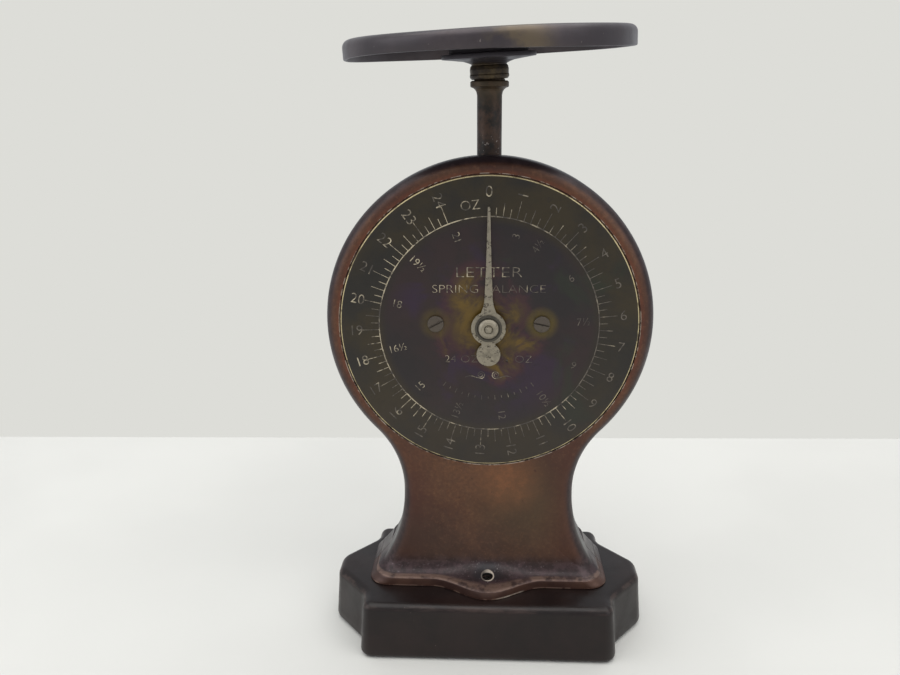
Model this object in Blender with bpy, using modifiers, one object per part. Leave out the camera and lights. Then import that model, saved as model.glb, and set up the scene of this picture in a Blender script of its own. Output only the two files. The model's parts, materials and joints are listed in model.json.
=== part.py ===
"""A pan letter scale: a waisted casing, a round dial, and the spring, rack and pinion behind its pointer.

Metres, +Z up. The origin is on the floor under the post, and the dial faces -Y.
"""

import math

import bmesh
import bpy
from mathutils import Matrix, Vector

MM = 0.001
FIT = 0.05 * MM  # radial room of a seated or running round fit
SEAT = 0.05 * MM  # gap between faces that rest on each other
ARC_STEP = math.radians(19)  # the longest step of a rounded corner

# Levels and planes that several parts share
BASE_TOP = 20.9 * MM
DIAL_Z = 119.4 * MM
WAIST_Z = 56 * MM
NECK_Z = 57 * MM
HEAD_Z = DIAL_Z + 0.35 * MM
DIAL_FRONT = -14 * MM
FACE = -13.7 * MM
SEAM_FRONT = -2.1 * MM
SEAM_REAR = -1.9 * MM
BACK = 14 * MM
DEEP = 30 * MM  # how far a cutter runs when it must pass right through

# Casing
HEAD_RADIUS = 56.4 * MM
WAIST_HALF = 30.8 * MM
FLARE_RADIUS = 54 * MM
FLARE_END = 24 * MM
CASING_FOOT = BASE_TOP + 1.5 * MM
CHAMBER_FOOT = 10 * MM
WALL = 2.2 * MM
RIM_RADIUS = 5 * MM
BACK_RADIUS = 3 * MM
SEAM_STEP = 0.1 * MM
BACK_DRAFT = 1.1 * MM
BUSH_HOLE = 5.6 * MM
BOSS_RADIUS = 3.4 * MM
TAPPED = 1.3 * MM
CLEAR = 1.5 * MM

# Foot of the casing: (rise above its underside, half width, how far the lip's face is drawn in)
FOOT_LEVELS = (
    (0, 44.3 * MM, 0),
    (1 * MM, 43.9 * MM, 0),
    (2.1 * MM, 42.7 * MM, 0),
    (3 * MM, 42.1 * MM, 0),
    (3.6 * MM, 41.8 * MM, 0.6 * MM),
)
FOOT_LIP = 3.6 * MM
FOOT_COVE = 5.6 * MM
FOOT_SINK = 0.06  # share by which the cove's top runs into the body, so that no faces coincide
FOOT_FRONT = (-18.6 * MM, 7.5 * MM)  # reach and corner radius
FOOT_BACK = (15 * MM, 7 * MM)
LOBE_HALF = 20.5 * MM
LOBE_REACH = 8.2 * MM

# Screws of the casing
FOOT_SCREW_Y = -18.4 * MM
FOOT_SCREW_SEAT = 23.6 * MM
REAR_SCREW_X = 31.5 * MM
REAR_SCREW_Y = 8 * MM
REAR_BOSS_RADIUS = 4 * MM
REAR_BOSS_TOP = 30 * MM
JOINING_SCREWS = {
    "upper_left": (-41 * MM, 145.5 * MM),
    "upper_right": (41 * MM, 145.5 * MM),
    "lower_left": (-25 * MM, 44 * MM),
    "lower_right": (25 * MM, 44 * MM),
}
FRAME_SCREWS = {
    "top": (0, 155 * MM),
    "lower_left": (-15 * MM, 112 * MM),
    "lower_right": (15 * MM, 112 * MM),
}

# Base
BASE_MID_Y = -2.9 * MM
BASE_BLOCK = (46.2 * MM, 30.2 * MM)
BASE_WING_HALF = 58.8 * MM
BASE_NOTCH = 20.5 * MM
BASE_SHOULDER = 5.8 * MM
BLOCK_CORNER = 7 * MM
NOTCH_CORNER = 7 * MM
WING_CORNER = 8 * MM
CORNER_SHRINK = 0.75  # how much a corner tightens for each unit of inset
BASE_WALL = 4 * MM
BASE_RIM = 5 * MM
BASE_EDGE = 3.2 * MM
BASE_FOOT_EDGE = 2.4 * MM
BASE_TAPER = (0.972, 0.937)

# Dial
DIAL_RADIUS = 50.8 * MM
DIAL_THICK = 1 * MM
DIAL_SCREW_X = 18 * MM
DIAL_SCREW_Z = DIAL_Z + 1.1 * MM
WINDOW_RADIUS = 46 * MM

# Frame, bridge and pillars
FRAME_Y = (9 * MM, 10.5 * MM)
FRAME_HALF = 21.5 * MM
FRAME_ARM = 30 * MM
SHELF_Z = (163.4 * MM, 166 * MM)
BRIDGE_Y = (-9.5 * MM, -7.5 * MM)
BRIDGE_HALF = (22.5 * MM, 5 * MM)
PILLAR_RADIUS = 2.5 * MM
SCREW_HOLE = 1.3 * MM
TENON_HOLE = 1.6 * MM
BUSH_RADIUS = 5.2 * MM
BUSH_Z = (161 * MM, 175.3 * MM)
BUSH_COLLAR = 7 * MM
ARBOR_BUSH = (2.5 * MM, 3.6 * MM)  # barrel and collar

# Rack and pinion
MODULE = 0.5 * MM
TEETH = 12
PITCH_RADIUS = MODULE * TEETH / 2
PRESSURE = math.radians(20)
BACKLASH = 0.08 * MM
TRAVEL = 17.8 * MM
ARBOR_RADIUS = 1.2 * MM
PINION_Y = (-5.6 * MM, -0.4 * MM)
RACK_Y = (-5.2 * MM, -0.8 * MM)
RACK_Z = (109 * MM, 147 * MM)
RACK_BACK = 8 * MM
RACK_SCREW_X = 9.8 * MM
RACK_SCREW_Z = (111 * MM, 144.7 * MM)
RACK_SCREW_HOLE = 1 * MM

# Carriage, springs and post
CARRIAGE_Y = (3 * MM, 5.5 * MM)
CARRIAGE_HALF = 12 * MM
CARRIAGE_ARM = 29.5 * MM
CARRIAGE_TAIL = 4.5 * MM
STUD_HOLE = 1.3 * MM
SPRING_X = 26 * MM
SPRING_TOP = 154 * MM
SPRING_FOOT = 90.5 * MM
POST_RADIUS = 4.15 * MM
POST_FOOT = 151 * MM
POST_TOP = 199.7 * MM
POST_RING = 6.4 * MM
POST_STUB = (2.5 * MM, 5.6 * MM)  # radius and height above the post's top
POST_COLLAR = (5.1 * MM, 0.65 * MM)
POST_PIN_Z = 153.5 * MM
POST_PIN_HOLE = 0.9 * MM

# Check link
LINK_LENGTH = 26 * MM
LINK_END = 2.8 * MM
LINK_BEARING = 1.5 * MM
LINK_SLOT = 1.55 * MM
LINK_PIN_Z = 66 * MM
LINK_PIVOT_Z = LINK_PIN_Z - TRAVEL / 2
LINK_ANGLE = math.asin(TRAVEL / 2 / LINK_LENGTH)
LINK_PIVOT_X = -LINK_LENGTH * math.cos(LINK_ANGLE)
BRACKET_HALF = 2.8 * MM

# Pan
LEAN_Z = 200 * MM
PAN_LEAN = (math.radians(3.3), math.radians(-2.3))  # about X and about Y: rear and right side raised
PAN_RADIUS = 47.3 * MM
PAN_RIM_FOOT = 7.9 * MM
PAN_TOP = 14.3 * MM
PAN_SHEET = 1 * MM
PAN_SHOULDER = 2.4 * MM
PAN_RINGS = (5.5 * MM, 13 * MM)  # edges on the flat top that stand clear of the rivets
RIVET_CIRCLE = 8.5 * MM
RIVET_SHANK = 1.4 * MM
RIVET_HEAD = 2.2 * MM
RIVET_DEPTH = 0.8 * MM

# Quarter turns that aim a part's own +Z
TO_FRONT = (math.pi / 2, 0, 0)
TO_REAR = (-math.pi / 2, 0, 0)
SIDEWAYS = (0, math.pi / 2, 0)
DOWN = (math.pi, 0, 0)
UP = (0, 0, 0)


# ---------------------------------------------------------------- scene and materials

def collection(name, shown):
    group = bpy.data.collections.new(name)
    group.hide_render = not shown
    bpy.context.scene.collection.children.link(group)
    return group


def finish(name, color, roughness, metallic):
    material = bpy.data.materials.new(name)
    material.use_nodes = True
    shader = material.node_tree.nodes["Principled BSDF"]
    shader.inputs["Base Color"].default_value = (*color, 1)
    shader.inputs["Roughness"].default_value = roughness
    shader.inputs["Metallic"].default_value = metallic
    return material


for old in list(bpy.data.objects):
    bpy.data.objects.remove(old)
PARTS = collection("letter_scale", True)
TOOLS = collection("cutters", False)

BASE_BLACK = finish("base_black", (0.028, 0.022, 0.022), 0.38, 0.1)
COPPER_BROWN = finish("copper_brown", (0.16, 0.065, 0.03), 0.42, 0.6)
REAR_BLACK = finish("rear_black", (0.045, 0.043, 0.042), 0.45, 0.2)
DIAL_BRASS = finish("dial_brass", (0.07, 0.055, 0.045), 0.35, 0.8)
PAN_BRONZE = finish("pan_bronze", (0.085, 0.075, 0.08), 0.4, 0.5)
POST_BROWN = finish("post_brown", (0.04, 0.03, 0.025), 0.5, 0.5)
STEEL = finish("steel", (0.5, 0.49, 0.47), 0.35, 1)
BRASS = finish("brass", (0.6, 0.45, 0.2), 0.3, 1)
IRON = finish("frame_iron", (0.12, 0.12, 0.12), 0.5, 0.8)
LEATHER = finish("leather", (0.12, 0.06, 0.03), 0.8, 0)


# ---------------------------------------------------------------- outlines

def circle(radius, across=0, along=0, steps=24):
    angles = [2 * math.pi * i / steps for i in range(steps)]
    return [(across + radius * math.cos(a), along + radius * math.sin(a)) for a in angles]


def arc(across, along, radius, first, last, steps):
    angles = [math.radians(first + (last - first) * i / steps) for i in range(steps + 1)]
    return [(across + radius * math.cos(a), along + radius * math.sin(a)) for a in angles]


def rounded(corners):
    """A closed outline from corners of (across, along, radius)."""
    outline = []
    for i, (across, along, radius) in enumerate(corners):
        point = Vector((across, along))
        before = (Vector(corners[i - 1][:2]) - point).normalized()
        after = (Vector(corners[(i + 1) % len(corners)][:2]) - point).normalized()
        half = before.angle(after) / 2
        centre = point + (before + after).normalized() * radius / math.sin(half)
        start = point + before * radius / math.tan(half) - centre
        turn = math.pi - 2 * half
        if before.cross(after) > 0:
            turn = -turn
        steps = max(1, math.ceil(abs(turn) / ARC_STEP))
        for step in range(steps + 1):
            spoke = Matrix.Rotation(turn * step / steps, 2) @ start
            outline.append(tuple(centre + spoke))
    return outline


def box_outline(low, high, radius=0.3 * MM):
    sides = [(low[0], low[1]), (high[0], low[1]), (high[0], high[1]), (low[0], high[1])]
    return rounded([(*side, radius) for side in sides])


# ---------------------------------------------------------------- solids

def add(name, mesh, material, place=(0, 0, 0), turn=UP, parent=None, smooth=35):
    """One named piece of the scale."""
    piece = bpy.data.objects.new(name, mesh)
    PARTS.objects.link(piece)
    if mesh.users == 1:
        mesh.materials.append(material)
        mesh.shade_smooth()
        mesh.set_sharp_from_angle(angle=math.radians(smooth))
    piece.location = place
    piece.rotation_euler = turn
    piece.parent = parent
    return piece


def helper(mesh, place=(0, 0, 0), turn=UP, parent=None):
    """A solid that only cuts or joins."""
    tool = bpy.data.objects.new("tool", mesh)
    TOOLS.objects.link(tool)
    tool.hide_render = True
    tool.display_type = "WIRE"
    tool.location = place
    tool.rotation_euler = turn
    tool.parent = parent
    return tool


def shape(piece, operation, tools):
    for tool in tools:
        change = piece.modifiers.new(operation.lower(), "BOOLEAN")
        change.operation = operation
        change.object = tool


def cut(piece, *tools):
    shape(piece, "DIFFERENCE", tools)


def join(piece, *tools):
    shape(piece, "UNION", tools)


def baked(piece):
    """The piece's finished mesh, with the piece itself removed."""
    graph = bpy.context.evaluated_depsgraph_get()
    mesh = bpy.data.meshes.new_from_object(piece.evaluated_get(graph))
    bpy.data.objects.remove(piece)
    return mesh


def slab(outlines, thickness):
    """A flat plate in the XY plane, centred on it, with any inner outlines as holes."""
    curve = bpy.data.curves.new("outline", "CURVE")
    curve.dimensions = "2D"
    curve.fill_mode = "BOTH"
    curve.extrude = thickness / 2
    for outline in outlines:
        spline = curve.splines.new("POLY")
        spline.points.add(len(outline) - 1)
        for point, (across, along) in zip(spline.points, outline):
            point.co = (across, along, 0, 1)
        spline.use_cyclic_u = True
    holder = bpy.data.objects.new("outline", curve)
    TOOLS.objects.link(holder)
    mesh = baked(holder)
    work = bmesh.new()
    work.from_mesh(mesh)
    bmesh.ops.remove_doubles(work, verts=work.verts, dist=0.001 * MM)
    work.to_mesh(mesh)
    work.free()
    return mesh


def round_edges(mesh, level, radius, segments=4):
    """Rounds a slab's rim at one level of its thickness."""
    work = bmesh.new()
    work.from_mesh(mesh)
    bmesh.ops.dissolve_limit(work, angle_limit=math.radians(0.5), verts=work.verts, edges=work.edges)
    rim = []
    for edge in work.edges:
        flat = all(abs(v.co.z - level) < 0.01 * MM for v in edge.verts)
        if flat and edge.calc_face_angle(0) > math.radians(45):
            rim.append(edge)
    bmesh.ops.bevel(work, geom=rim, offset=radius, segments=segments, profile=0.5, affect="EDGES")
    work.to_mesh(mesh)
    work.free()
    return mesh


def cylinder(radius, low, high, steps=24):
    """A cylinder about Z."""
    mesh = bpy.data.meshes.new("cylinder")
    work = bmesh.new()
    middle = Matrix.Translation((0, 0, (low + high) / 2))
    bmesh.ops.create_cone(work, cap_ends=True, segments=steps, radius1=radius, radius2=radius,
                          depth=high - low, matrix=middle)
    work.to_mesh(mesh)
    work.free()
    return mesh


def block(low, high):
    mesh = bpy.data.meshes.new("block")
    work = bmesh.new()
    size = [b - a for a, b in zip(low, high)]
    middle = [(a + b) / 2 for a, b in zip(low, high)]
    bmesh.ops.create_cube(work, size=1, matrix=Matrix.Translation(middle) @ Matrix.Diagonal((*size, 1)))
    work.to_mesh(mesh)
    work.free()
    return mesh


def loft(loops):
    """A skin through closed loops that have the same number of points, with both ends closed."""
    mesh = bpy.data.meshes.new("loft")
    work = bmesh.new()
    rings = [[work.verts.new(point) for point in loop] for loop in loops]
    for lower, upper in zip(rings, rings[1:]):
        for i in range(len(lower)):
            j = (i + 1) % len(lower)
            work.faces.new((lower[i], lower[j], upper[j], upper[i]))
    work.faces.new(rings[0][::-1])
    work.faces.new(rings[-1])
    bmesh.ops.recalc_face_normals(work, faces=work.faces)
    work.to_mesh(mesh)
    work.free()
    return mesh


def turned(name, profile, material, place=(0, 0, 0), turn=UP, parent=None, steps=24, ring=False):
    """A turned piece: the profile of (radius, height) runs down its outer side from the top."""
    mesh = bpy.data.meshes.new(name)
    edges = [(i, i + 1) for i in range(len(profile) - 1)]
    if ring:
        edges.append((len(profile) - 1, 0))
    mesh.from_pydata([(radius, 0, height) for radius, height in profile], edges, [])
    mesh.materials.append(material)
    piece = bpy.data.objects.new(name, mesh)
    PARTS.objects.link(piece)
    piece.location = place
    piece.rotation_euler = turn
    piece.parent = parent
    screw = piece.modifiers.new("turn", "SCREW")
    screw.steps = steps
    screw.render_steps = steps
    screw.use_merge_vertices = True
    screw.merge_threshold = 0.001 * MM
    return piece


def tube(outer, inner, low, high):
    return [(outer, high), (outer, low), (inner, low), (inner, high)]


def screw_mesh(name, head, height, shank, length, material):
    """A slotted cheese-head screw: its head stands on the XY plane and its shank runs down."""
    crown = 0.25 * height
    profile = [(0, height), (head - crown, height), (head, height - crown), (head, 0),
               (shank, 0), (shank, -length), (0, -length)]
    piece = turned(name, profile, material, steps=14)
    reach = 1.2 * head
    slot = 0.16 * head
    cut(piece, helper(block((-reach, -slot, 0.5 * height), (reach, slot, 2 * height))))
    return baked(piece)


def axis_empty(name, place=(0, 0, 0), turn=UP, parent=None):
    """An empty on a joint's axis: the pieces that move together are its children."""
    empty = bpy.data.objects.new(name, None)
    PARTS.objects.link(empty)
    empty.location = place
    empty.rotation_euler = turn
    empty.parent = parent
    return empty


def facing(low, high):
    """The place of a slab that stands across Y between two planes, and its thickness."""
    return (0, (low + high) / 2, 0), high - low


# ---------------------------------------------------------------- base

def base_outline(inset):
    """A block with a wing on each side, drawn in by an inset."""
    half, reach = (side - inset for side in BASE_BLOCK)
    wing = BASE_WING_HALF - inset
    corners = (BLOCK_CORNER, NOTCH_CORNER, WING_CORNER)
    block, notch, tip = (radius - CORNER_SHRINK * inset for radius in corners)
    front = [(half, -reach, block), (half, -BASE_NOTCH, notch), (wing, -BASE_SHOULDER, tip)]
    right = front + [(across, -along, radius) for across, along, radius in reversed(front)]
    left = [(-across, along, radius) for across, along, radius in reversed(right)]
    return [(x, BASE_MID_Y + y) for x, y in rounded(right + left)]


def make_base():
    mesh = slab([base_outline(0)], BASE_TOP)
    for vertex in mesh.vertices:
        if vertex.co.z > 0:
            vertex.co.x *= BASE_TAPER[0]
            vertex.co.y = BASE_MID_Y + (vertex.co.y - BASE_MID_Y) * BASE_TAPER[1]
    round_edges(mesh, BASE_TOP / 2, BASE_EDGE)
    round_edges(mesh, -BASE_TOP / 2, BASE_FOOT_EDGE, 2)
    base = add("base_plinth", mesh, BASE_BLACK, (0, 0, BASE_TOP / 2))
    hollow = slab([base_outline(BASE_RIM)], BASE_TOP)
    cut(base, helper(hollow, (0, 0, BASE_TOP / 2 - BASE_WALL)))
    front = (0, FOOT_SCREW_Y, 0)
    join(base, helper(cylinder(4.2 * MM, 8 * MM, BASE_TOP - 2 * MM), front))
    cut(base, helper(cylinder(1.1 * MM, 5 * MM, DEEP, 16), front))
    for side in (-1, 1):
        place = (side * REAR_SCREW_X, REAR_SCREW_Y, 0)
        cut(base, helper(cylinder(TENON_HOLE, 5 * MM, DEEP, 16), place))


# ---------------------------------------------------------------- casing

def flare_half(height):
    """The casing's half width below the waist."""
    drop = WAIST_Z - height
    return WAIST_HALF + FLARE_RADIUS - math.sqrt(FLARE_RADIUS**2 - drop**2)


def casing_outline(inset, foot):
    """The casing seen from the front: a round head, a waist and a flare that ends at the foot's level."""
    rise = HEAD_Z - NECK_Z
    spread = HEAD_RADIUS - WAIST_HALF
    neck = (WAIST_HALF**2 + rise**2 - HEAD_RADIUS**2) / (2 * spread)
    shoulder = math.degrees(math.atan2(-rise, WAIST_HALF + neck))
    flare = math.degrees(math.asin((WAIST_Z - FLARE_END) / (FLARE_RADIUS + inset)))
    right = arc(WAIST_HALF + FLARE_RADIUS, WAIST_Z, FLARE_RADIUS + inset, 180 + flare, 180, 6)
    right += arc(WAIST_HALF + neck, NECK_Z, neck + inset, 180, 180 + shoulder, 6)
    head = arc(0, HEAD_Z, HEAD_RADIUS - inset, shoulder, 180 - shoulder, 42)[1:-1]
    left = [(-x, z) for x, z in reversed(right)]
    end = right[0][0]
    return [(end, foot), *right, *head, *left, (-end, foot)]


def foot_ring(half, reach, radius, lobe):
    """Half of the foot in plan, from the seam round the front and back to the seam."""
    corner = reach + radius
    side = [(half, 0), (half, corner / 2)]
    bend = arc(half - radius, corner, radius, 0, -90, 4)
    across = [LOBE_HALF * (1 - i / 8) for i in range(17)]
    edge = [(x, reach - lobe * math.cos(math.pi * x / LOBE_HALF / 2) ** 2) for x in across]
    mirrored = [(-x, y) for x, y in reversed(side + bend)]
    return side + bend + edge + mirrored


def foot_solid(edge, body, seam, lobe):
    """The foot of one shell: a lip, then a cove that runs up into the body."""
    reach, radius = edge
    direction = math.copysign(1, reach)
    rings = []
    for rise, half, inset in FOOT_LEVELS:
        rings.append((BASE_TOP + SEAT + rise, half, abs(reach) - inset, lobe))
    lip_half = FOOT_LEVELS[-1][1]
    steps = 5
    for step in range(1, steps + 1):
        climb = step / steps
        share = 1 - math.sqrt(1 - (1 - climb) ** 2) - FOOT_SINK * climb
        height = BASE_TOP + FOOT_LIP + FOOT_COVE * climb
        narrow = flare_half(height)
        half = narrow + (lip_half - narrow) * share - FOOT_SINK * climb * MM
        far = abs(body) + (abs(reach) - abs(body)) * share
        rings.append((height, half, far, lobe * share))
    loops = []
    for height, half, far, bulge in rings:
        outline = foot_ring(half, -far, radius, bulge)
        loops.append([(x, seam if y == 0 else -direction * y, height) for x, y in outline])
    return loft(loops)


def rods(radius, low, high, places, steps=20):
    """Rods along Y, one at each (x, z)."""
    return [helper(cylinder(radius, -high, -low, steps), (x, 0, z), TO_FRONT) for x, z in places]


def make_front_casing():
    place, thickness = facing(FACE, SEAM_FRONT)
    mesh = round_edges(slab([casing_outline(0, CASING_FOOT)], thickness), thickness / 2, RIM_RADIUS)
    casing = add("front_casing", mesh, COPPER_BROWN, place, TO_FRONT)
    join(casing, helper(foot_solid(FOOT_FRONT, FACE, SEAM_FRONT, LOBE_REACH)))
    place, thickness = facing(FACE + WALL, 1 * MM)
    chamber = slab([casing_outline(WALL, CHAMBER_FOOT)], thickness)
    inner = round_edges(chamber, thickness / 2, RIM_RADIUS - WALL, 2)
    cut(casing, helper(inner, place, TO_FRONT))
    join(casing, *rods(BOSS_RADIUS, FACE + 1.2 * MM, SEAM_FRONT - 0.2 * MM, JOINING_SCREWS.values()))
    cut(casing, *rods(TAPPED, FACE + 3 * MM, 1 * MM, JOINING_SCREWS.values(), 16))
    middle = (0, 0, DIAL_Z)
    cut(casing, helper(cylinder(WINDOW_RADIUS, 5 * MM, 20 * MM, 72), middle, TO_FRONT))
    recess = -DIAL_FRONT - DIAL_THICK - SEAT
    cut(casing, helper(cylinder(DIAL_RADIUS + 0.3 * MM, recess, 20 * MM, 72), middle, TO_FRONT))
    cut(casing, helper(cylinder(BUSH_HOLE, 160 * MM, 190 * MM, 32)))
    cut(casing, helper(cylinder(1.2 * MM, 15 * MM, 40 * MM, 16), (0, FOOT_SCREW_Y, 0)))
    cut(casing, helper(cylinder(1.9 * MM, FOOT_SCREW_SEAT, 40 * MM, 20), (0, FOOT_SCREW_Y, 0)))


def make_rear_casing():
    sections = ((SEAM_STEP, SEAM_REAR), (BACK_DRAFT, BACK))
    mesh = loft([[(x, y, z) for x, z in casing_outline(inset, CASING_FOOT)] for inset, y in sections])
    round_back(mesh)
    casing = add("rear_casing", mesh, REAR_BLACK)
    join(casing, helper(foot_solid(FOOT_BACK, BACK, SEAM_REAR, 0)))
    place, thickness = facing(-5 * MM, BACK - WALL)
    cut(casing, helper(slab([casing_outline(WALL + BACK_DRAFT, CHAMBER_FOOT)], thickness), place, TO_FRONT))
    back = BACK - WALL + 0.6 * MM
    join(casing, *rods(BOSS_RADIUS, SEAM_REAR + 0.2 * MM, back, JOINING_SCREWS.values()))
    join(casing, *rods(BOSS_RADIUS, FRAME_Y[1] + SEAT, back, FRAME_SCREWS.values()))
    cut(casing, *rods(CLEAR, -10 * MM, DEEP, JOINING_SCREWS.values(), 16))
    cut(casing, *rods(TAPPED, 0, DEEP, FRAME_SCREWS.values(), 16))
    cut(casing, *rods(TAPPED, 0, DEEP, [(LINK_PIVOT_X, LINK_PIVOT_Z)], 16))
    cut(casing, helper(cylinder(BUSH_HOLE, 160 * MM, 190 * MM, 32)))
    for side in (-1, 1):
        place = (side * REAR_SCREW_X, REAR_SCREW_Y, 0)
        join(casing, helper(cylinder(REAR_BOSS_RADIUS, BASE_TOP + 0.2 * MM, REAR_BOSS_TOP, 20), place))
        cut(casing, helper(cylinder(TAPPED, 15 * MM, REAR_BOSS_TOP - 1.4 * MM, 16), place))


def round_back(mesh):
    work = bmesh.new()
    work.from_mesh(mesh)
    rim = [edge for edge in work.edges if all(abs(v.co.y - BACK) < 0.01 * MM for v in edge.verts)]
    bmesh.ops.bevel(work, geom=rim, offset=BACK_RADIUS, segments=3, profile=0.5, affect="EDGES")
    work.to_mesh(mesh)
    work.free()


def make_case_screws():
    long_screw = screw_mesh("casing_screw", 2.9 * MM, 1.6 * MM, 1.2 * MM, 22 * MM, STEEL)
    for name, (x, z) in JOINING_SCREWS.items():
        add(f"casing_screw_{name}", long_screw, STEEL, (x, BACK + SEAT, z), TO_REAR)
    short_screw = screw_mesh("frame_screw", 2.4 * MM, 1.4 * MM, 1 * MM, 4.8 * MM, STEEL)
    for name, (x, z) in FRAME_SCREWS.items():
        add(f"frame_screw_{name}", short_screw, STEEL, (x, BACK + SEAT, z), TO_REAR)
    bracket_place = (LINK_PIVOT_X, BACK + SEAT, LINK_PIVOT_Z)
    add("bracket_screw", short_screw, STEEL, bracket_place, TO_REAR)
    foot_screw = screw_mesh("foot_screw", 2.6 * MM, 1.5 * MM, 1.2 * MM, 10.5 * MM, STEEL)
    under = BASE_TOP - BASE_WALL - SEAT
    for name, side in (("left", -1), ("right", 1)):
        add(f"foot_screw_rear_{name}", foot_screw, STEEL, (side * REAR_SCREW_X, REAR_SCREW_Y, under), DOWN)
    lobe_screw = screw_mesh("lobe_screw", 1.7 * MM, 1 * MM, 0.95 * MM, 12 * MM, STEEL)
    add("foot_screw_front", lobe_screw, STEEL, (0, FOOT_SCREW_Y, FOOT_SCREW_SEAT + SEAT))


# ---------------------------------------------------------------- dial and frame

def make_dial():
    place, thickness = facing(DIAL_FRONT, DIAL_FRONT + DIAL_THICK)
    holes = [circle(2.7 * MM, 0, DIAL_Z)]
    holes += [circle(1.3 * MM, side * DIAL_SCREW_X, DIAL_SCREW_Z, 16) for side in (-1, 1)]
    plate = slab([circle(DIAL_RADIUS, 0, DIAL_Z, 72), *holes], thickness)
    add("dial_plate", plate, DIAL_BRASS, place, TO_FRONT)
    screw = screw_mesh("dial_screw", 2.8 * MM, 1.2 * MM, 1 * MM, 11 * MM, STEEL)
    for name, side in (("left", -1), ("right", 1)):
        x = side * DIAL_SCREW_X
        add(f"dial_screw_{name}", screw, STEEL, (x, DIAL_FRONT - SEAT, DIAL_SCREW_Z), TO_FRONT)
        make_pillar(name, x)


def make_pillar(name, x):
    """One dial pillar: a spacer behind the dial, the bridge, and a long pillar to the frame."""
    place = (x, 0, DIAL_SCREW_Z)
    spacer = tube(PILLAR_RADIUS, SCREW_HOLE, -BRIDGE_Y[0] + SEAT, -DIAL_FRONT - DIAL_THICK - SEAT)
    turned(f"dial_spacer_{name}", spacer, BRASS, place, TO_FRONT, steps=16, ring=True)
    nose = -BRIDGE_Y[1] - SEAT
    tail = -FRAME_Y[0] + SEAT
    drill = nose - 7 * MM
    tenon = tail - 1.3 * MM
    profile = [(0, drill), (SCREW_HOLE, drill), (SCREW_HOLE, nose), (PILLAR_RADIUS, nose),
               (PILLAR_RADIUS, tail), (1.5 * MM, tail), (1.5 * MM, tenon), (0, tenon)]
    turned(f"pillar_{name}", profile, BRASS, place, TO_FRONT, steps=16)


def make_frame():
    half, arm = FRAME_HALF, FRAME_ARM
    corners = [(12 * MM, 167 * MM), (-12 * MM, 167 * MM), (-12 * MM, 160.5 * MM), (-arm, 159.5 * MM),
               (-arm, 149.5 * MM), (-half, 148 * MM), (-half, 107 * MM), (half, 107 * MM),
               (half, 148 * MM), (arm, 149.5 * MM), (arm, 159.5 * MM), (12 * MM, 160.5 * MM)]
    outline = rounded([(*corner, 1.5 * MM) for corner in corners])
    holes = [circle(2.6 * MM, 0, DIAL_Z)]
    holes += [circle(TENON_HOLE, side * DIAL_SCREW_X, DIAL_SCREW_Z, 20) for side in (-1, 1)]
    holes += [circle(STUD_HOLE, side * SPRING_X, SPRING_TOP, 20) for side in (-1, 1)]
    holes += [circle(1.1 * MM, x, z, 16) for x, z in FRAME_SCREWS.values()]
    place, thickness = facing(*FRAME_Y)
    frame = add("movement_frame", slab([outline, *holes], thickness), IRON, place, TO_FRONT)
    join(frame, helper(block((-9 * MM, -7.5 * MM, SHELF_Z[0]), (9 * MM, 9.6 * MM, SHELF_Z[1]))))
    cut(frame, helper(cylinder(BUSH_RADIUS + FIT + 0.03 * MM, 150 * MM, 180 * MM, 32)))
    bore = POST_RADIUS + 0.1 * MM
    low, high = BUSH_Z
    seat = SHELF_Z[0] - SEAT
    profile = [(bore, high), (BUSH_RADIUS, high), (BUSH_RADIUS, seat), (BUSH_COLLAR, seat),
               (BUSH_COLLAR, low), (bore, low)]
    turned("post_bush", profile, BRASS, steps=32, ring=True)
    for name, side in (("left", -1), ("right", 1)):
        make_stud(f"spring_stud_{name}", side * SPRING_X, SPRING_TOP, FRAME_Y[1] - 0.1 * MM)


def make_stud(name, x, z, rear, parent=None):
    """A headed stud that a spring's end loop hangs on."""
    head = 2.2 * MM
    profile = [(0, 2.6 * MM), (head, 2.6 * MM), (head, 1.8 * MM), (ARBOR_RADIUS, 1.8 * MM),
               (ARBOR_RADIUS, -rear), (0, -rear)]
    turned(name, profile, STEEL, (x, 0, z), TO_FRONT, parent, steps=16)


def make_bridge():
    place, thickness = facing(*BRIDGE_Y)
    middle = (DIAL_Z + DIAL_SCREW_Z) / 2
    half, rise = BRIDGE_HALF
    outline = box_outline((-half, middle - rise), (half, middle + rise), rise - 0.1 * MM)
    holes = [circle(2.6 * MM, 0, DIAL_Z)]
    holes += [circle(1.3 * MM, side * DIAL_SCREW_X, DIAL_SCREW_Z, 16) for side in (-1, 1)]
    add("arbor_bridge", slab([outline, *holes], thickness), IRON, place, TO_FRONT)
    bore = ARBOR_RADIUS + 0.06 * MM
    barrel, collar = ARBOR_BUSH
    front = [(bore, 10.1 * MM), (collar, 10.1 * MM), (collar, 9.55 * MM), (barrel, 9.55 * MM),
             (barrel, 7.4 * MM), (bore, 7.4 * MM)]
    turned("arbor_bush_front", front, BRASS, (0, 0, DIAL_Z), TO_FRONT, ring=True)
    rear = [(bore, -8.4 * MM), (collar, -8.4 * MM), (collar, -8.95 * MM), (barrel, -8.95 * MM),
            (barrel, -10.7 * MM), (bore, -10.7 * MM)]
    turned("arbor_bush_rear", rear, BRASS, (0, 0, DIAL_Z), TO_FRONT, ring=True)


# ---------------------------------------------------------------- springs

def hook(across, middle, toward):
    """The end loop of a spring in the XZ plane: it starts beside the stem and ends on it."""
    radius = 2.2 * MM
    angles = [math.radians(-50 + 280 * i / 9) for i in range(10)]
    loop = [(across + radius * math.cos(a), 0, middle + toward * radius * math.sin(a)) for a in angles]
    stem = middle - toward * 3.2 * MM
    return loop + [(across, 0, stem)]


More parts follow.
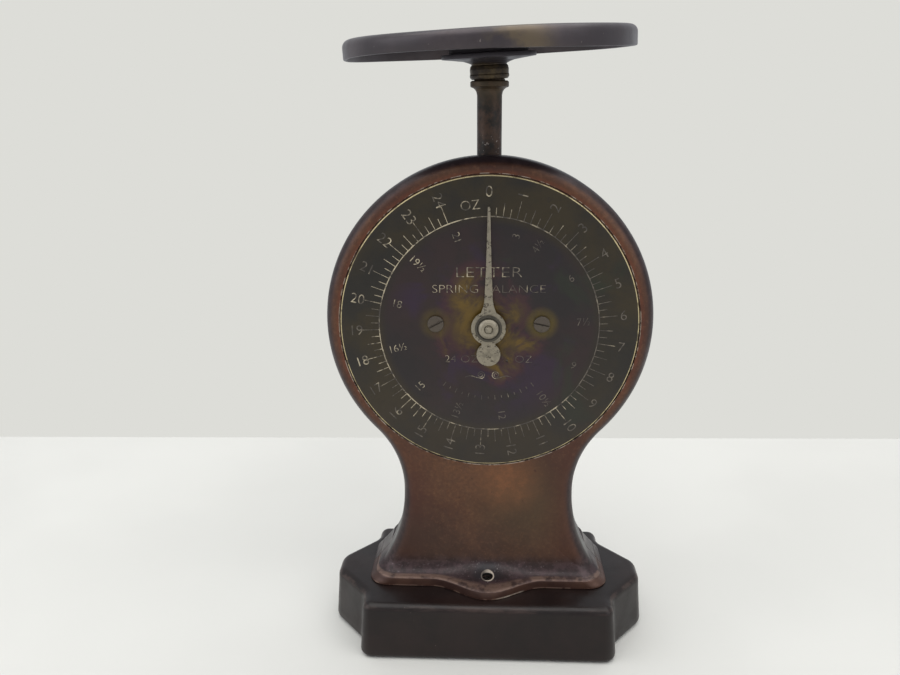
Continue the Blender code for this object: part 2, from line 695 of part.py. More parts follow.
def make_spring(name, across):
    coil_radius = 3 * MM
    turns = 12
    per_turn = 8
    top = SPRING_TOP - 5 * MM
    foot = SPRING_FOOT + 5 * MM
    path = hook(across, SPRING_TOP - 0.4 * MM, 1)
    for i in range(turns * per_turn + 1):
        angle = 2 * math.pi * i / per_turn
        height = top + (foot - top) * i / (turns * per_turn)
        path.append((across + coil_radius * math.cos(angle), coil_radius * math.sin(angle), height))
    path += reversed(hook(across, SPRING_FOOT + 0.4 * MM, -1))
    curve = bpy.data.curves.new(name, "CURVE")
    curve.dimensions = "3D"
    curve.bevel_depth = 0.45 * MM
    curve.bevel_resolution = 1
    curve.use_fill_caps = True
    spline = curve.splines.new("POLY")
    spline.points.add(len(path) - 1)
    for point, place in zip(spline.points, path):
        point.co = (*place, 1)
    curve.materials.append(STEEL)
    PARTS.objects.link(bpy.data.objects.new(name, curve))


# ---------------------------------------------------------------- carriage: everything that slides

def make_carriage(axis):
    half, arm, tail = CARRIAGE_HALF, CARRIAGE_ARM, CARRIAGE_TAIL
    corners = [(half, 157 * MM), (-half, 157 * MM), (-half, 96 * MM), (-arm, 94.5 * MM), (-arm, 86.5 * MM),
               (-tail, 85 * MM), (-tail, 61 * MM), (tail, 61 * MM), (tail, 85 * MM), (arm, 86.5 * MM),
               (arm, 94.5 * MM), (half, 96 * MM)]
    outline = rounded([(*corner, 1.8 * MM) for corner in corners])
    holes = [box_outline((-7.6 * MM, 113.5 * MM), (7.6 * MM, 144 * MM), 2 * MM)]
    holes += [circle(STUD_HOLE, side * SPRING_X, SPRING_FOOT, 20) for side in (-1, 1)]
    holes += [circle(STUD_HOLE, 0, LINK_PIN_Z, 20)]
    holes += [circle(RACK_SCREW_HOLE, RACK_SCREW_X, z, 16) for z in RACK_SCREW_Z]
    place, thickness = facing(*CARRIAGE_Y)
    carriage = add("carriage", slab([outline, *holes], thickness), IRON, place, TO_FRONT, axis)
    join(carriage, helper(block((-6.5 * MM, -6.5 * MM, 148 * MM), (6.5 * MM, 3.4 * MM, 156.4 * MM))))
    cut(carriage, helper(cylinder(POST_RADIUS + FIT, POST_FOOT - SEAT, 170 * MM, 32)))
    cross = (0, 0, POST_PIN_Z)
    cut(carriage, helper(cylinder(POST_PIN_HOLE, -10 * MM, 10 * MM, 16), cross, SIDEWAYS))
    for name, side in (("left", -1), ("right", 1)):
        make_stud(f"carriage_stud_{name}", side * SPRING_X, SPRING_FOOT, CARRIAGE_Y[1] - 0.1 * MM, axis)
    make_stud("check_pin", 0, LINK_PIN_Z, CARRIAGE_Y[1] - 0.1 * MM, axis)
    pin = cylinder(0.8 * MM, -6.3 * MM, 6.3 * MM, 16)
    add("post_pin", pin, STEEL, cross, SIDEWAYS, axis)


def make_rack(axis):
    """A rack whose teeth face the pinion and which is screwed to the carriage by two lugs."""
    pitch = math.pi * MODULE
    lean = math.tan(PRESSURE)
    tip, root = PITCH_RADIUS - 0.7 * MODULE, PITCH_RADIUS + 1.4 * MODULE
    low, high = RACK_Z
    outline = [(RACK_BACK, low), (RACK_BACK, high), (root, high)]
    for tooth in reversed(range(-3, 15)):
        middle = DIAL_Z + tooth * pitch
        for sign in (1, -1):
            narrow = middle + sign * (pitch / 4 - 0.7 * MODULE * lean)
            wide = middle + sign * (pitch / 4 + 1.4 * MODULE * lean)
            flank = [(root, wide), (tip, narrow)]
            outline += flank if sign == 1 else flank[::-1]
    outline.append((root, low))
    place, thickness = facing(*RACK_Y)
    rack = add("rack", slab([outline[::-1]], thickness), BRASS, place, TO_FRONT, axis)
    screw = screw_mesh("rack_screw", 1.5 * MM, 0.9 * MM, 0.8 * MM, 6.5 * MM, STEEL)
    for name, height in zip(("lower", "upper"), RACK_SCREW_Z):
        low_corner = (7.4 * MM, -2 * MM, height - 2.2 * MM)
        high_corner = (11.4 * MM, CARRIAGE_Y[0] - SEAT, height + 1.9 * MM)
        lug = block(low_corner, high_corner)
        join(rack, helper(lug, parent=axis))
        hole = (RACK_SCREW_X, 0, height)
        cut(rack, helper(cylinder(RACK_SCREW_HOLE, -10 * MM, 10 * MM, 16), hole, TO_FRONT, axis))
        add(f"rack_screw_{name}", screw, STEEL, (RACK_SCREW_X, -2 * MM - SEAT, height), TO_FRONT, axis)


def make_post(axis):
    neck = POST_TOP - 3.5 * MM
    ring = POST_TOP - 2 * MM
    edge = 0.4 * MM
    stub, stub_top = POST_STUB[0], POST_TOP + POST_STUB[1]
    collar, collar_top = POST_COLLAR[0], POST_TOP + POST_COLLAR[1]
    profile = [(0, stub_top), (stub, stub_top), (stub, collar_top), (collar, collar_top), (collar, POST_TOP),
               (POST_RING - edge, POST_TOP), (POST_RING, POST_TOP - edge), (POST_RING, ring)]
    bell = (0.7 * (POST_RING - POST_RADIUS), 0.7 * (ring - neck))
    for i in range(5):
        sweep = math.pi / 2 * i / 4
        profile.append((POST_RADIUS + bell[0] * (1 - math.sin(sweep)), neck + bell[1] * math.cos(sweep)))
    profile += [(POST_RADIUS, POST_FOOT), (0, POST_FOOT)]
    post = turned("post", profile, POST_BROWN, parent=axis, steps=32)
    cut(post, helper(cylinder(POST_PIN_HOLE, -10 * MM, 10 * MM, 16), (0, 0, POST_PIN_Z), SIDEWAYS))
    washer = tube(6 * MM, POST_RADIUS + 0.1 * MM, 157 * MM + SEAT, 160.6 * MM)
    turned("buffer_washer", washer, LEATHER, parent=axis, steps=24, ring=True)


def make_pan(axis):
    lean = axis_empty("pan_lean", (0, 0, LEAN_Z), PAN_LEAN + (0,), axis)
    inner = PAN_SHEET
    corner = (PAN_RADIUS - PAN_SHOULDER, PAN_TOP - PAN_SHOULDER)
    outer_bend = arc(*corner, PAN_SHOULDER, 90, 0, 4)
    inner_bend = arc(*corner, PAN_SHOULDER - inner, 0, 90, 3)
    top = [(radius, PAN_TOP) for radius in (0, *PAN_RINGS)]
    profile = [*top, *outer_bend, (PAN_RADIUS, PAN_RIM_FOOT), (PAN_RADIUS - inner, PAN_RIM_FOOT),
               *inner_bend, (0, PAN_TOP - inner)]
    pan = turned("pan", profile, PAN_BRONZE, parent=lean, steps=64)
    flange = turned("pan_flange", flange_profile(), PAN_BRONZE, parent=lean, steps=32)
    rivet = rivet_mesh()
    for number in range(3):
        angle = math.pi / 2 + 2 * math.pi * number / 3
        place = (RIVET_CIRCLE * math.cos(angle), RIVET_CIRCLE * math.sin(angle), 0)
        drill = helper(cylinder(RIVET_SHANK + 0.1 * MM, 10 * MM, 20 * MM, 16), place, parent=lean)
        cut(pan, drill, helper(countersink(), place, parent=lean))
        cut(flange, drill)
        seat = (*place[:2], PAN_TOP - SEAT)
        add(f"pan_rivet_{number + 1}", rivet, PAN_BRONZE, seat, parent=lean)


def flange_profile():
    """The hub under the pan: a block in the pan, a disc, and a socket for the post's stub and collar."""
    under = PAN_TOP - PAN_SHEET - SEAT
    bore = POST_STUB[0] + 0.65 * MM
    socket = POST_COLLAR[0] + 0.4 * MM
    return [(0, under), (13 * MM, under), (13 * MM, 8.3 * MM), (15.5 * MM, 8.3 * MM), (15.5 * MM, 6.9 * MM),
            (11.5 * MM, 6.4 * MM), (8.2 * MM, 5.9 * MM), (6.5 * MM, 5.3 * MM), (5.8 * MM, 4.8 * MM),
            (5.9 * MM, 4.1 * MM), (6.4 * MM, 2 * MM), (6.4 * MM, 0.9 * MM), (6.1 * MM, 0.35 * MM),
            (socket, 0.25 * MM), (socket, 1.15 * MM), (bore, 1.15 * MM), (bore, 5.9 * MM), (0, 5.9 * MM)]


def countersink():
    """The cone that a rivet's head lies in, about Z at the pan's own height."""
    margin = 0.2 * MM
    low, high = PAN_TOP - RIVET_DEPTH - margin, PAN_TOP + margin
    wide = RIVET_HEAD + margin + 0.15 * MM
    ends = ((wide - (high - low), low), (wide, high))
    return loft([[(x, y, height) for x, y in circle(radius, steps=16)] for radius, height in ends])


def rivet_mesh():
    """A flush rivet: its head's top is on the XY plane."""
    foot = -4.2 * MM
    profile = [(0, 0), (RIVET_HEAD, 0), (RIVET_SHANK, -RIVET_DEPTH), (RIVET_SHANK, foot), (0, foot)]
    return baked(turned("rivet", profile, PAN_BRONZE, steps=16))


# ---------------------------------------------------------------- pointer: everything on the arbor

def pinion_outline():
    base = PITCH_RADIUS * math.cos(PRESSURE)
    root = PITCH_RADIUS - 1.4 * MODULE
    tip = PITCH_RADIUS + 0.9 * MODULE
    thick = math.pi / (2 * TEETH) - BACKLASH / PITCH_RADIUS + math.tan(PRESSURE) - PRESSURE
    flank = [(root, thick)]
    for step in range(5):
        radius = base + (tip - base) * step / 4
        lean = math.acos(base / radius)
        flank.append((radius, thick - math.tan(lean) + lean))
    tooth = [(radius, -half) for radius, half in flank]
    tooth += [(radius, half) for radius, half in reversed(flank)]
    outline = []
    for number in range(TEETH):
        middle = 2 * math.pi * (number + 0.5) / TEETH
        outline += [(r * math.cos(middle + a), r * math.sin(middle + a)) for r, a in tooth]
    return outline


def pointer_outline():
    """A needle with a round boss and a counterweight tail."""
    right = [(3 * MM, -8.2 * MM, 1 * MM), (2.1 * MM, -5 * MM, 1 * MM), (5.9 * MM, -3 * MM, 1 * MM),
             (5.9 * MM, 3 * MM, 2 * MM), (1.7 * MM, 6 * MM, 2 * MM), (0.95 * MM, 20 * MM, 0.2 * MM),
             (0.3 * MM, 40.8 * MM, 0.1 * MM)]
    tail = [(2.2 * MM, -13.3 * MM, 0.8 * MM), (4.1 * MM, -9.4 * MM, 1.2 * MM)]
    side = tail + right
    left = [(-across, along, radius) for across, along, radius in reversed(side)]
    return rounded(side + left)


def make_pointer():
    axis = axis_empty("pointer_axis", (0, 0, DIAL_Z))
    profile = [(0, 18.6 * MM), (0.9 * MM, 18.6 * MM), (0.9 * MM, 18.2 * MM), (ARBOR_RADIUS, 18 * MM),
               (ARBOR_RADIUS, -10.6 * MM), (0, -10.6 * MM)]
    turned("pointer_arbor", profile, STEEL, turn=TO_FRONT, parent=axis, steps=20)
    place, thickness = facing(*PINION_Y)
    bore = circle(ARBOR_RADIUS + FIT)
    add("pinion", slab([pinion_outline(), bore], thickness), BRASS, place, TO_FRONT, axis)
    place, thickness = facing(-16.2 * MM, -15.6 * MM)
    add("pointer", slab([pointer_outline(), bore], thickness), STEEL, place, TO_FRONT, axis)
    bore_radius = ARBOR_RADIUS + FIT
    washer = tube(4.6 * MM, bore_radius, 16.25 * MM, 16.85 * MM)
    turned("pointer_washer", washer, STEEL, turn=TO_FRONT, parent=axis, ring=True)
    nut = [(bore_radius, 17.8 * MM), (1.9 * MM, 17.8 * MM), (2.9 * MM, 17.5 * MM), (3.35 * MM, 17 * MM),
           (3.35 * MM, 16.9 * MM), (bore_radius, 16.9 * MM)]
    turned("pointer_nut", nut, STEEL, turn=TO_FRONT, parent=axis, ring=True)


# ---------------------------------------------------------------- check link

def make_check_link():
    """The lever that holds the foot of the carriage upright, from a bracket on the rear casing."""
    pivot = (LINK_PIVOT_X, 0, LINK_PIVOT_Z)
    axis = axis_empty("check_link_axis", pivot, (0, -LINK_ANGLE, 0))
    bearing = LINK_BEARING
    near = LINK_LENGTH * math.cos(LINK_ANGLE) - 0.2 * MM
    far = LINK_LENGTH + 0.2 * MM
    outline = arc(0, 0, LINK_END, 90, 270, 10) + arc(far, 0, LINK_END, -90, 90, 10)
    track = arc(near, 0, LINK_SLOT, 90, 270, 8) + arc(far, 0, LINK_SLOT, -90, 90, 8)
    place, thickness = facing(-1 * MM, 1 * MM)
    holes = [circle(bearing + FIT), track]
    add("check_link", slab([outline, *holes], thickness), IRON, place, TO_FRONT, axis)
    profile = [(0, 2 * MM), (2.5 * MM, 2 * MM), (2.5 * MM, 1.15 * MM), (bearing, 1.15 * MM),
               (bearing, -6 * MM), (0, -6 * MM)]
    turned("link_pivot", profile, STEEL, pivot, TO_FRONT)
    low = (LINK_PIVOT_X - BRACKET_HALF, 1.3 * MM, LINK_PIVOT_Z - BRACKET_HALF)
    high = (LINK_PIVOT_X + BRACKET_HALF, BACK - WALL - SEAT, LINK_PIVOT_Z + BRACKET_HALF)
    bracket = add("link_bracket", block(low, high), IRON)
    cut(bracket, *rods(bearing + 0.1 * MM, -5 * MM, 6.2 * MM, [(LINK_PIVOT_X, LINK_PIVOT_Z)], 16))
    cut(bracket, *rods(1.1 * MM, 8.6 * MM, DEEP, [(LINK_PIVOT_X, LINK_PIVOT_Z)], 16))


# ---------------------------------------------------------------- the whole scale

make_base()
make_front_casing()
make_rear_casing()
make_case_screws()
make_dial()
make_frame()
make_bridge()
make_spring("spring_left", -SPRING_X)
make_spring("spring_right", SPRING_X)
slide_axis = axis_empty("pan_travel_axis")
make_carriage(slide_axis)
make_rack(slide_axis)
make_post(slide_axis)
make_pan(slide_axis)
make_pointer()
make_check_link()
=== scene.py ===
"""The looks of the letter scale: worn enamel, copper-brown lacquer, a tarnished dial and a bronze pan."""

import json
import math

import bmesh
import bpy
from mathutils import Matrix, Vector


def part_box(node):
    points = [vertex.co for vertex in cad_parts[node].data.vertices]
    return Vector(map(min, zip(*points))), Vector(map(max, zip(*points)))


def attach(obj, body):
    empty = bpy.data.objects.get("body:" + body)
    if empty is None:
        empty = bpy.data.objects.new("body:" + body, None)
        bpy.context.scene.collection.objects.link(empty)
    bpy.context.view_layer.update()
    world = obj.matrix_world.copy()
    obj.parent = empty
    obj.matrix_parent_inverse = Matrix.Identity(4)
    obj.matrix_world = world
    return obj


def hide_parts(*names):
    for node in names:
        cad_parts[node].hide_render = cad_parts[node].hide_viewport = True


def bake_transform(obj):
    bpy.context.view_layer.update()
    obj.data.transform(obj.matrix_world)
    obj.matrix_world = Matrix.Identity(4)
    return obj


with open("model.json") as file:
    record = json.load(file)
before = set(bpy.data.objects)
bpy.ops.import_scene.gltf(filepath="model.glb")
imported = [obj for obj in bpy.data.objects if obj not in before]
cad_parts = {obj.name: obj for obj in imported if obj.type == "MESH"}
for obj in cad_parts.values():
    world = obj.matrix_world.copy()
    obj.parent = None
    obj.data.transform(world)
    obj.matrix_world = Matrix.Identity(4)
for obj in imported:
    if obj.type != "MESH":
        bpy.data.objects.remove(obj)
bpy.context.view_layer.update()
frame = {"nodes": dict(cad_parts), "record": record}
MM = 0.001

# Levels that the pieces take from the solids
BASE_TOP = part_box("base_plinth")[1].z
DIAL_LOW, DIAL_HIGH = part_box("dial_plate")
DIAL_FRONT = DIAL_LOW.y
DIAL_Z = (DIAL_LOW.z + DIAL_HIGH.z) / 2
DIAL_RADIUS = (DIAL_HIGH.x - DIAL_LOW.x) / 2
CASE_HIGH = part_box("front_casing")[1]
HEAD_RADIUS = CASE_HIGH.x
SEAM_FRONT = CASE_HIGH.y
SEAM_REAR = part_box("rear_casing")[0].y
FACE = DIAL_FRONT + 0.3 * MM
BACK = 14 * MM
POST_LOW, POST_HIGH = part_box("post")

# Casing
WAIST_Z = 56 * MM
NECK_Z = 57 * MM
HEAD_Z = DIAL_Z + 0.35 * MM
WAIST_HALF = 30.8 * MM
FLARE_RADIUS = 54 * MM
FLARE_END = 24 * MM
WALL = 2.2 * MM
RIM_RADIUS = 5 * MM
BACK_RADIUS = 3 * MM
BACK_DRAFT = 1.1 * MM
FOOT_SIDE = ((0, 44.1), (0.25, 44.3), (0.6, 44.2), (1.0, 43.9), (1.55, 43.3), (2.1, 42.7), (2.6, 42.35),
             (3.1, 42.08), (3.6, 41.8))
FOOT_LIP = 3.6 * MM
FOOT_COVE = 5.6 * MM
FOOT_FRONT = (18.6 * MM, 7.5 * MM)  # reach and corner radius
FOOT_BACK = (15 * MM, 7 * MM)
FOOT_GAP = 0.05 * MM
HOLLOW_FOOT = 10 * MM  # where the hollow ends below
DIAL_OPENING = 46 * MM
POST_HOLE = 5.6 * MM
BACK_HOLES = ((-41, 145.5, 1.5), (41, 145.5, 1.5), (-25, 44, 1.5), (25, 44, 1.5),
              (0, 155, 1.3), (-15, 112, 1.3), (15, 112, 1.3), (-24.43, 57.1, 1.3))  # x, z and radius in mm
LOBE_HALF = 20.5 * MM
LOBE_REACH = 8.2 * MM
FOOT_SCREW_Y = -18.4 * MM
HUB = Vector((0, DIAL_FRONT, DIAL_Z))
DIAL_SCREW_X = 18 * MM
DIAL_SCREW_Z = DIAL_Z + 1.1 * MM

# Base
BASE_MID_Y = -2.9 * MM
BASE_BLOCK = (46.2 * MM, 30.2 * MM)  # half width and reach
BASE_WING = 58.8 * MM
BASE_NOTCH = 20.5 * MM
BASE_SHOULDER = 5.8 * MM
BASE_CORNERS = [7 * MM, 7 * MM, 8 * MM]  # block, notch and wing
REAR_SCREW = (31.5 * MM, 8 * MM)
BASE_WALL = 4 * MM
BASE_DRAFT = 1.25 * MM
BASE_EDGE = 3 * MM
BASE_FOOT_EDGE = 2.3 * MM
BASE_LEAN = 0.023  # how much more the front and back slope, as a share of their reach

# Dial markings
OUNCE = 14.12  # degrees
CIRCLE_RADIUS = 37.44 * MM
NUMBER_RADIUS = 45.6 * MM
RATE_RADIUS = 32.2 * MM
INK = 0.035 * MM  # how far the filled engraving stands off the dial

# Pan
LEAN_Z = 200 * MM
LEAN = Matrix.Translation((0, 0, LEAN_Z)) @ (
    Matrix.Rotation(math.radians(-2.3), 4, "Y") @ Matrix.Rotation(math.radians(3.3), 4, "X"))
PAN_RADIUS = 47.3 * MM
PAN_FOOT = 7.9 * MM
PAN_TOP = 14.3 * MM

RIVET_CIRCLE = 8.5 * MM
PAN_SHEET = 1 * MM
PAN_BEND = 2.4 * MM

# Springs
SPRING_X = 26 * MM
SPRING_TOP = 154 * MM
SPRING_FOOT = 90.5 * MM
COIL_TURNS = 12
COIL_RADIUS = 3 * MM
HOOK_RADIUS = 2.2 * MM

# Room and camera, in metres and degrees
FLOOR_END = 0.1704
FLOOR_TURN = 1.24
CAMERA_PLACE = (-0.05 * MM, -269.45 * MM, 187.49 * MM)
CAMERA_PAN, CAMERA_TILT, CAMERA_ROLL = 2.943, 74.295, -0.543
CAMERA_LENS = 30.99

FRONTWARD = Matrix.Rotation(math.pi / 2, 4, "X")
REARWARD = Matrix.Rotation(-math.pi / 2, 4, "X")
DIAL_AXIS = Matrix.Translation((0, 0, DIAL_Z)) @ FRONTWARD


# ---------------------------------------------------------------- outlines

def arc(across, along, radius, first, last, steps):
    angles = [math.radians(first + (last - first) * i / steps) for i in range(steps + 1)]
    return [(across + radius * math.cos(a), along + radius * math.sin(a)) for a in angles]


def in_mm(*points):
    return [(across * MM, along * MM) for across, along in points]


def fillet(points, radii, steps=6, closed=True):
    """The points with each corner rounded by its radius, as far as its sides leave room."""
    made = []
    for i, here in enumerate(points):
        if not closed and i in (0, len(points) - 1):
            made.append(tuple(here))
            continue
        point = Vector(here)
        to_last = Vector(points[i - 1]) - point
        to_next = Vector(points[(i + 1) % len(points)]) - point
        before, after = to_last.normalized(), to_next.normalized()
        half = before.angle(after, math.pi) / 2
        if half > math.radians(86) or radii[i] <= 0:
            made.append(tuple(here))
            continue
        reach = min(radii[i] / math.tan(half), 0.49 * to_last.length, 0.49 * to_next.length)
        radius = reach * math.tan(half)
        centre = point + (before + after).normalized() * radius / math.sin(half)
        spoke = point + before * reach - centre
        turn = math.pi - 2 * half
        if before.cross(after) > 0:
            turn = -turn
        for step in range(steps + 1):
            made.append(tuple(centre + Matrix.Rotation(turn * step / steps, 2) @ spoke))
    return made


def inset_loop(loop, inset):
    """A closed anticlockwise outline moved inwards along its own normals."""
    made = []
    for i, here in enumerate(loop):
        ahead = Vector(loop[(i + 1) % len(loop)]) - Vector(here)
        behind = Vector(here) - Vector(loop[i - 1])
        along = ahead.normalized() + behind.normalized()
        inward = Vector((-along.y, along.x)).normalized()
        spread = max(0.5, math.sqrt((1 + ahead.normalized().dot(behind.normalized())) / 2))
        made.append(tuple(Vector(here) + inward * inset / spread))
    return made


def quarter(rise, inset, radius, steps=8):
    """(rise, inset) pairs round a convex edge whose top is at rise and whose side is at inset."""
    angles = [math.pi / 2 * i / steps for i in range(steps + 1)]
    return [(rise - radius + radius * math.sin(a), inset + radius - radius * math.cos(a)) for a in angles]


# ---------------------------------------------------------------- solids

def move(x, y, z):
    return Matrix.Translation((x, y, z))


def added(name, data):
    made = bpy.data.objects.new(name, data)
    bpy.context.scene.collection.objects.link(made)
    return made


def mesh_of(curve):
    """The mesh of a curve or of lettering, whose own object is removed."""
    holder = added(curve.name, curve)
    graph = bpy.context.evaluated_depsgraph_get()
    mesh = bpy.data.meshes.new_from_object(holder.evaluated_get(graph))
    bpy.data.objects.remove(holder)
    return mesh


def revolve(profile, steps=96, ring=False):
    """A bmesh turned about Z from (radius, height) pairs that run down its outer side."""
    work = bmesh.new()
    rows = []
    for radius, height in profile:
        if radius < 1e-7:
            rows.append([work.verts.new((0, 0, height))] * steps)
            continue
        angles = [2 * math.pi * i / steps for i in range(steps)]
        rows.append([work.verts.new((radius * math.cos(a), radius * math.sin(a), height)) for a in angles])
    pairs = list(zip(rows, rows[1:]))
    if ring:
        pairs.append((rows[-1], rows[0]))
    for high, low in pairs:
        for i in range(steps):
            j = (i + 1) % steps
            corners = list(dict.fromkeys((high[j], high[i], low[i], low[j])))
            if len(corners) > 2:
                work.faces.new(corners)
    bmesh.ops.recalc_face_normals(work, faces=work.faces)
    return work


def turned(points, radius, steps=96, ring=False, smooth=4):
    """A turned bmesh whose profile has every corner rounded by one radius."""
    profile = fillet(points, [radius] * len(points), smooth, closed=ring)
    return revolve(profile, steps, ring)


def object_of(name, work, place=None):
    mesh = bpy.data.meshes.new(name)
    if place is not None:
        bmesh.ops.transform(work, matrix=place, verts=work.verts)
    bmesh.ops.recalc_face_normals(work, faces=work.faces)
    work.to_mesh(mesh)
    work.free()
    return added(name, mesh)


def lofted(name, loops):
    """Quads through closed loops with the same number of points, and a face over each end."""
    work = bmesh.new()
    rings = [[work.verts.new(point) for point in loop] for loop in loops]
    for low, high in zip(rings, rings[1:]):
        for i in range(len(low)):
            j = (i + 1) % len(low)
            work.faces.new((low[i], low[j], high[j], high[i]))
    work.faces.new(rings[0][::-1])
    work.faces.new(rings[-1])
    return object_of(name, work)


def bake(piece):
    """Applies the piece's modifiers."""
    graph = bpy.context.evaluated_depsgraph_get()
    piece.data = bpy.data.meshes.new_from_object(piece.evaluated_get(graph))
    piece.modifiers.clear()


def shape(piece, operation, tool):
    change = piece.modifiers.new(operation, "BOOLEAN")
    change.operation = operation
    change.object = tool
    bake(piece)
    bpy.data.objects.remove(tool)


def cylinder(radius, low, high, steps=96, place=None):
    work = bmesh.new()
    middle = move(0, 0, (low + high) / 2)
    bmesh.ops.create_cone(work, cap_ends=True, segments=steps, radius1=radius, radius2=radius,
                          depth=high - low, matrix=middle)
    return object_of("tool", work, place)


def drill(piece, *bore):
    shape(piece, "DIFFERENCE", cylinder(*bore))


def settle(piece, material, body, slot, *nodes, angle=32):
    """Gives a finished piece its material and its body, and hides the solids that it stands for."""
    piece.data.materials.clear()
    piece.data.materials.append(material)
    piece.data.shade_smooth()
    piece.data.set_sharp_from_angle(angle=math.radians(angle))
    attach(piece, body)
    if nodes:
        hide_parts(*nodes)
    return piece


# ---------------------------------------------------------------- materials

def rgb(red, green, blue):
    """Display values from 0 to 255 as a linear colour."""
    def linear(value):
        value /= 255
        return value / 12.92 if value <= 0.04045 else ((value + 0.055) / 1.055) ** 2.4
    return (linear(red), linear(green), linear(blue), 1)


class Finish:
    """A Principled material and the few node patterns that its colour, gloss and relief are made of."""

    def __init__(self, name, color, roughness, metallic=0.0, coat=0.0, coat_roughness=0.1, specular=0.5):
        self.material = bpy.data.materials.new(name)
        self.material.use_nodes = True
        self.tree = self.material.node_tree
        self.shader = self.tree.nodes["Principled BSDF"]
        self.shader.inputs["Base Color"].default_value = color
        self.shader.inputs["Roughness"].default_value = roughness
        self.shader.inputs["Metallic"].default_value = metallic
        self.shader.inputs["Specular IOR Level"].default_value = specular
        self.shader.inputs["Coat Weight"].default_value = coat
        self.shader.inputs["Coat Roughness"].default_value = coat_roughness
        self.where = self.node("ShaderNodeTexCoord").outputs["Object"]
        self.relief = None

    def node(self, kind, **settings):
        made = self.tree.nodes.new(kind)
        for key, value in settings.items():
            setattr(made, key, value)
        return made

    def feed(self, socket, value):
        if isinstance(value, bpy.types.NodeSocket):
            self.tree.links.new(value, socket)
        else:
            socket.default_value = value

    def noise(self, scale, detail=4.0, roughness=0.6, stretch=(1, 1, 1), seed=0.0, warp=0.0):
        place = self.node("ShaderNodeMapping")
        self.feed(place.inputs["Vector"], self.where)
        place.inputs["Scale"].default_value = stretch
        place.inputs["Location"].default_value = (seed, seed * 0.7, seed * 1.3)
        made = self.node("ShaderNodeTexNoise")
        self.feed(made.inputs["Vector"], place.outputs["Vector"])
        made.inputs["Scale"].default_value = scale
        made.inputs["Detail"].default_value = detail
        made.inputs["Roughness"].default_value = roughness
        made.inputs["Distortion"].default_value = warp
        return made.outputs["Fac"]

    def cells(self, scale, seed=0.0):
        place = self.node("ShaderNodeMapping")
        self.feed(place.inputs["Vector"], self.where)
        place.inputs["Location"].default_value = (seed, seed, seed)
        made = self.node("ShaderNodeTexVoronoi")
        self.feed(made.inputs["Vector"], place.outputs["Vector"])
        made.inputs["Scale"].default_value = scale
        return made.outputs["Distance"]

    def ease(self, value, low, high, start=0.0, end=1.0):
        """value between low and high, as a smooth step from start to end."""
        made = self.node("ShaderNodeMapRange", interpolation_type="SMOOTHSTEP")
        self.feed(made.inputs["Value"], value)
        for name, limit in (("From Min", low), ("From Max", high), ("To Min", start), ("To Max", end)):
            made.inputs[name].default_value = limit
        return made.outputs["Result"]

    def fall(self, value, low, high):
        """1 where value is below low, falling smoothly to 0 at high."""
        return self.ease(value, low, high, 1.0, 0.0)

    def z_ease(self, low, high, start=0.0, end=1.0):
        return self.ease(self.axis(2), low, high, start, end)

    def z_fall(self, low, high):
        return self.fall(self.axis(2), low, high)

    def math(self, operation, first, second=0.0):
        made = self.node("ShaderNodeMath", operation=operation)
        self.feed(made.inputs[0], first)
        self.feed(made.inputs[1], second)
        return made.outputs["Value"]

    def times(self, *values):
        product = values[0]
        for value in values[1:]:
            product = self.math("MULTIPLY", product, value)
        return product

    def mix(self, share, first, second):
        made = self.node("ShaderNodeMix", data_type="RGBA")
        self.feed(made.inputs[0], share)
        self.feed(made.inputs[6], first)
        self.feed(made.inputs[7], second)
        return made.outputs[2]

    def over(self, body, paint, *shares):
        """The body with paint over it, as strong as the product of the shares."""
        return self.mix(self.times(*shares), body, paint)

    def distance(self, point, flatten=(1, 1, 1)):
        scaled = self.node("ShaderNodeVectorMath", operation="MULTIPLY")
        self.feed(scaled.inputs[0], self.where)
        scaled.inputs[1].default_value = flatten
        made = self.node("ShaderNodeVectorMath", operation="DISTANCE")
        self.feed(made.inputs[0], scaled.outputs["Vector"])
        made.inputs[1].default_value = [a * b for a, b in zip(point, flatten)]
        return made.outputs["Value"]

    def near(self, point, inner, outer, flatten=(1, 1, 1)):
        """1 at the point, falling to 0 at the outer distance."""
        return self.fall(self.distance(point, flatten), inner, outer)

    def axis(self, index):
        made = self.node("ShaderNodeSeparateXYZ")
        self.feed(made.inputs[0], self.where)
        return made.outputs[index]

    def facing(self, index):
        """One component of the surface's normal."""
        made = self.node("ShaderNodeSeparateXYZ")
        self.feed(made.inputs[0], self.node("ShaderNodeNewGeometry").outputs["Normal"])
        return made.outputs[index]

    def color(self, value):
        self.feed(self.shader.inputs["Base Color"], value)

    def gloss(self, low, high, scale, seed, detail=4, rough=0.6):
        """Cloudy roughness between low and high."""
        cloud = self.noise(scale, detail, rough, seed=seed)
        self.feed(self.shader.inputs["Roughness"], self.ease(cloud, 0.3, 0.7, low, high))

    def bump(self, height, depth):
        """Adds relief: height is 0 to 1, and depth its size in metres."""
        made = self.node("ShaderNodeBump")
        made.inputs["Strength"].default_value = 1.0
        made.inputs["Distance"].default_value = depth
        self.feed(made.inputs["Height"], height)
        if self.relief is not None:
            self.feed(made.inputs["Normal"], self.relief)
        self.relief = made.outputs["Normal"]
        self.feed(self.shader.inputs["Normal"], self.relief)


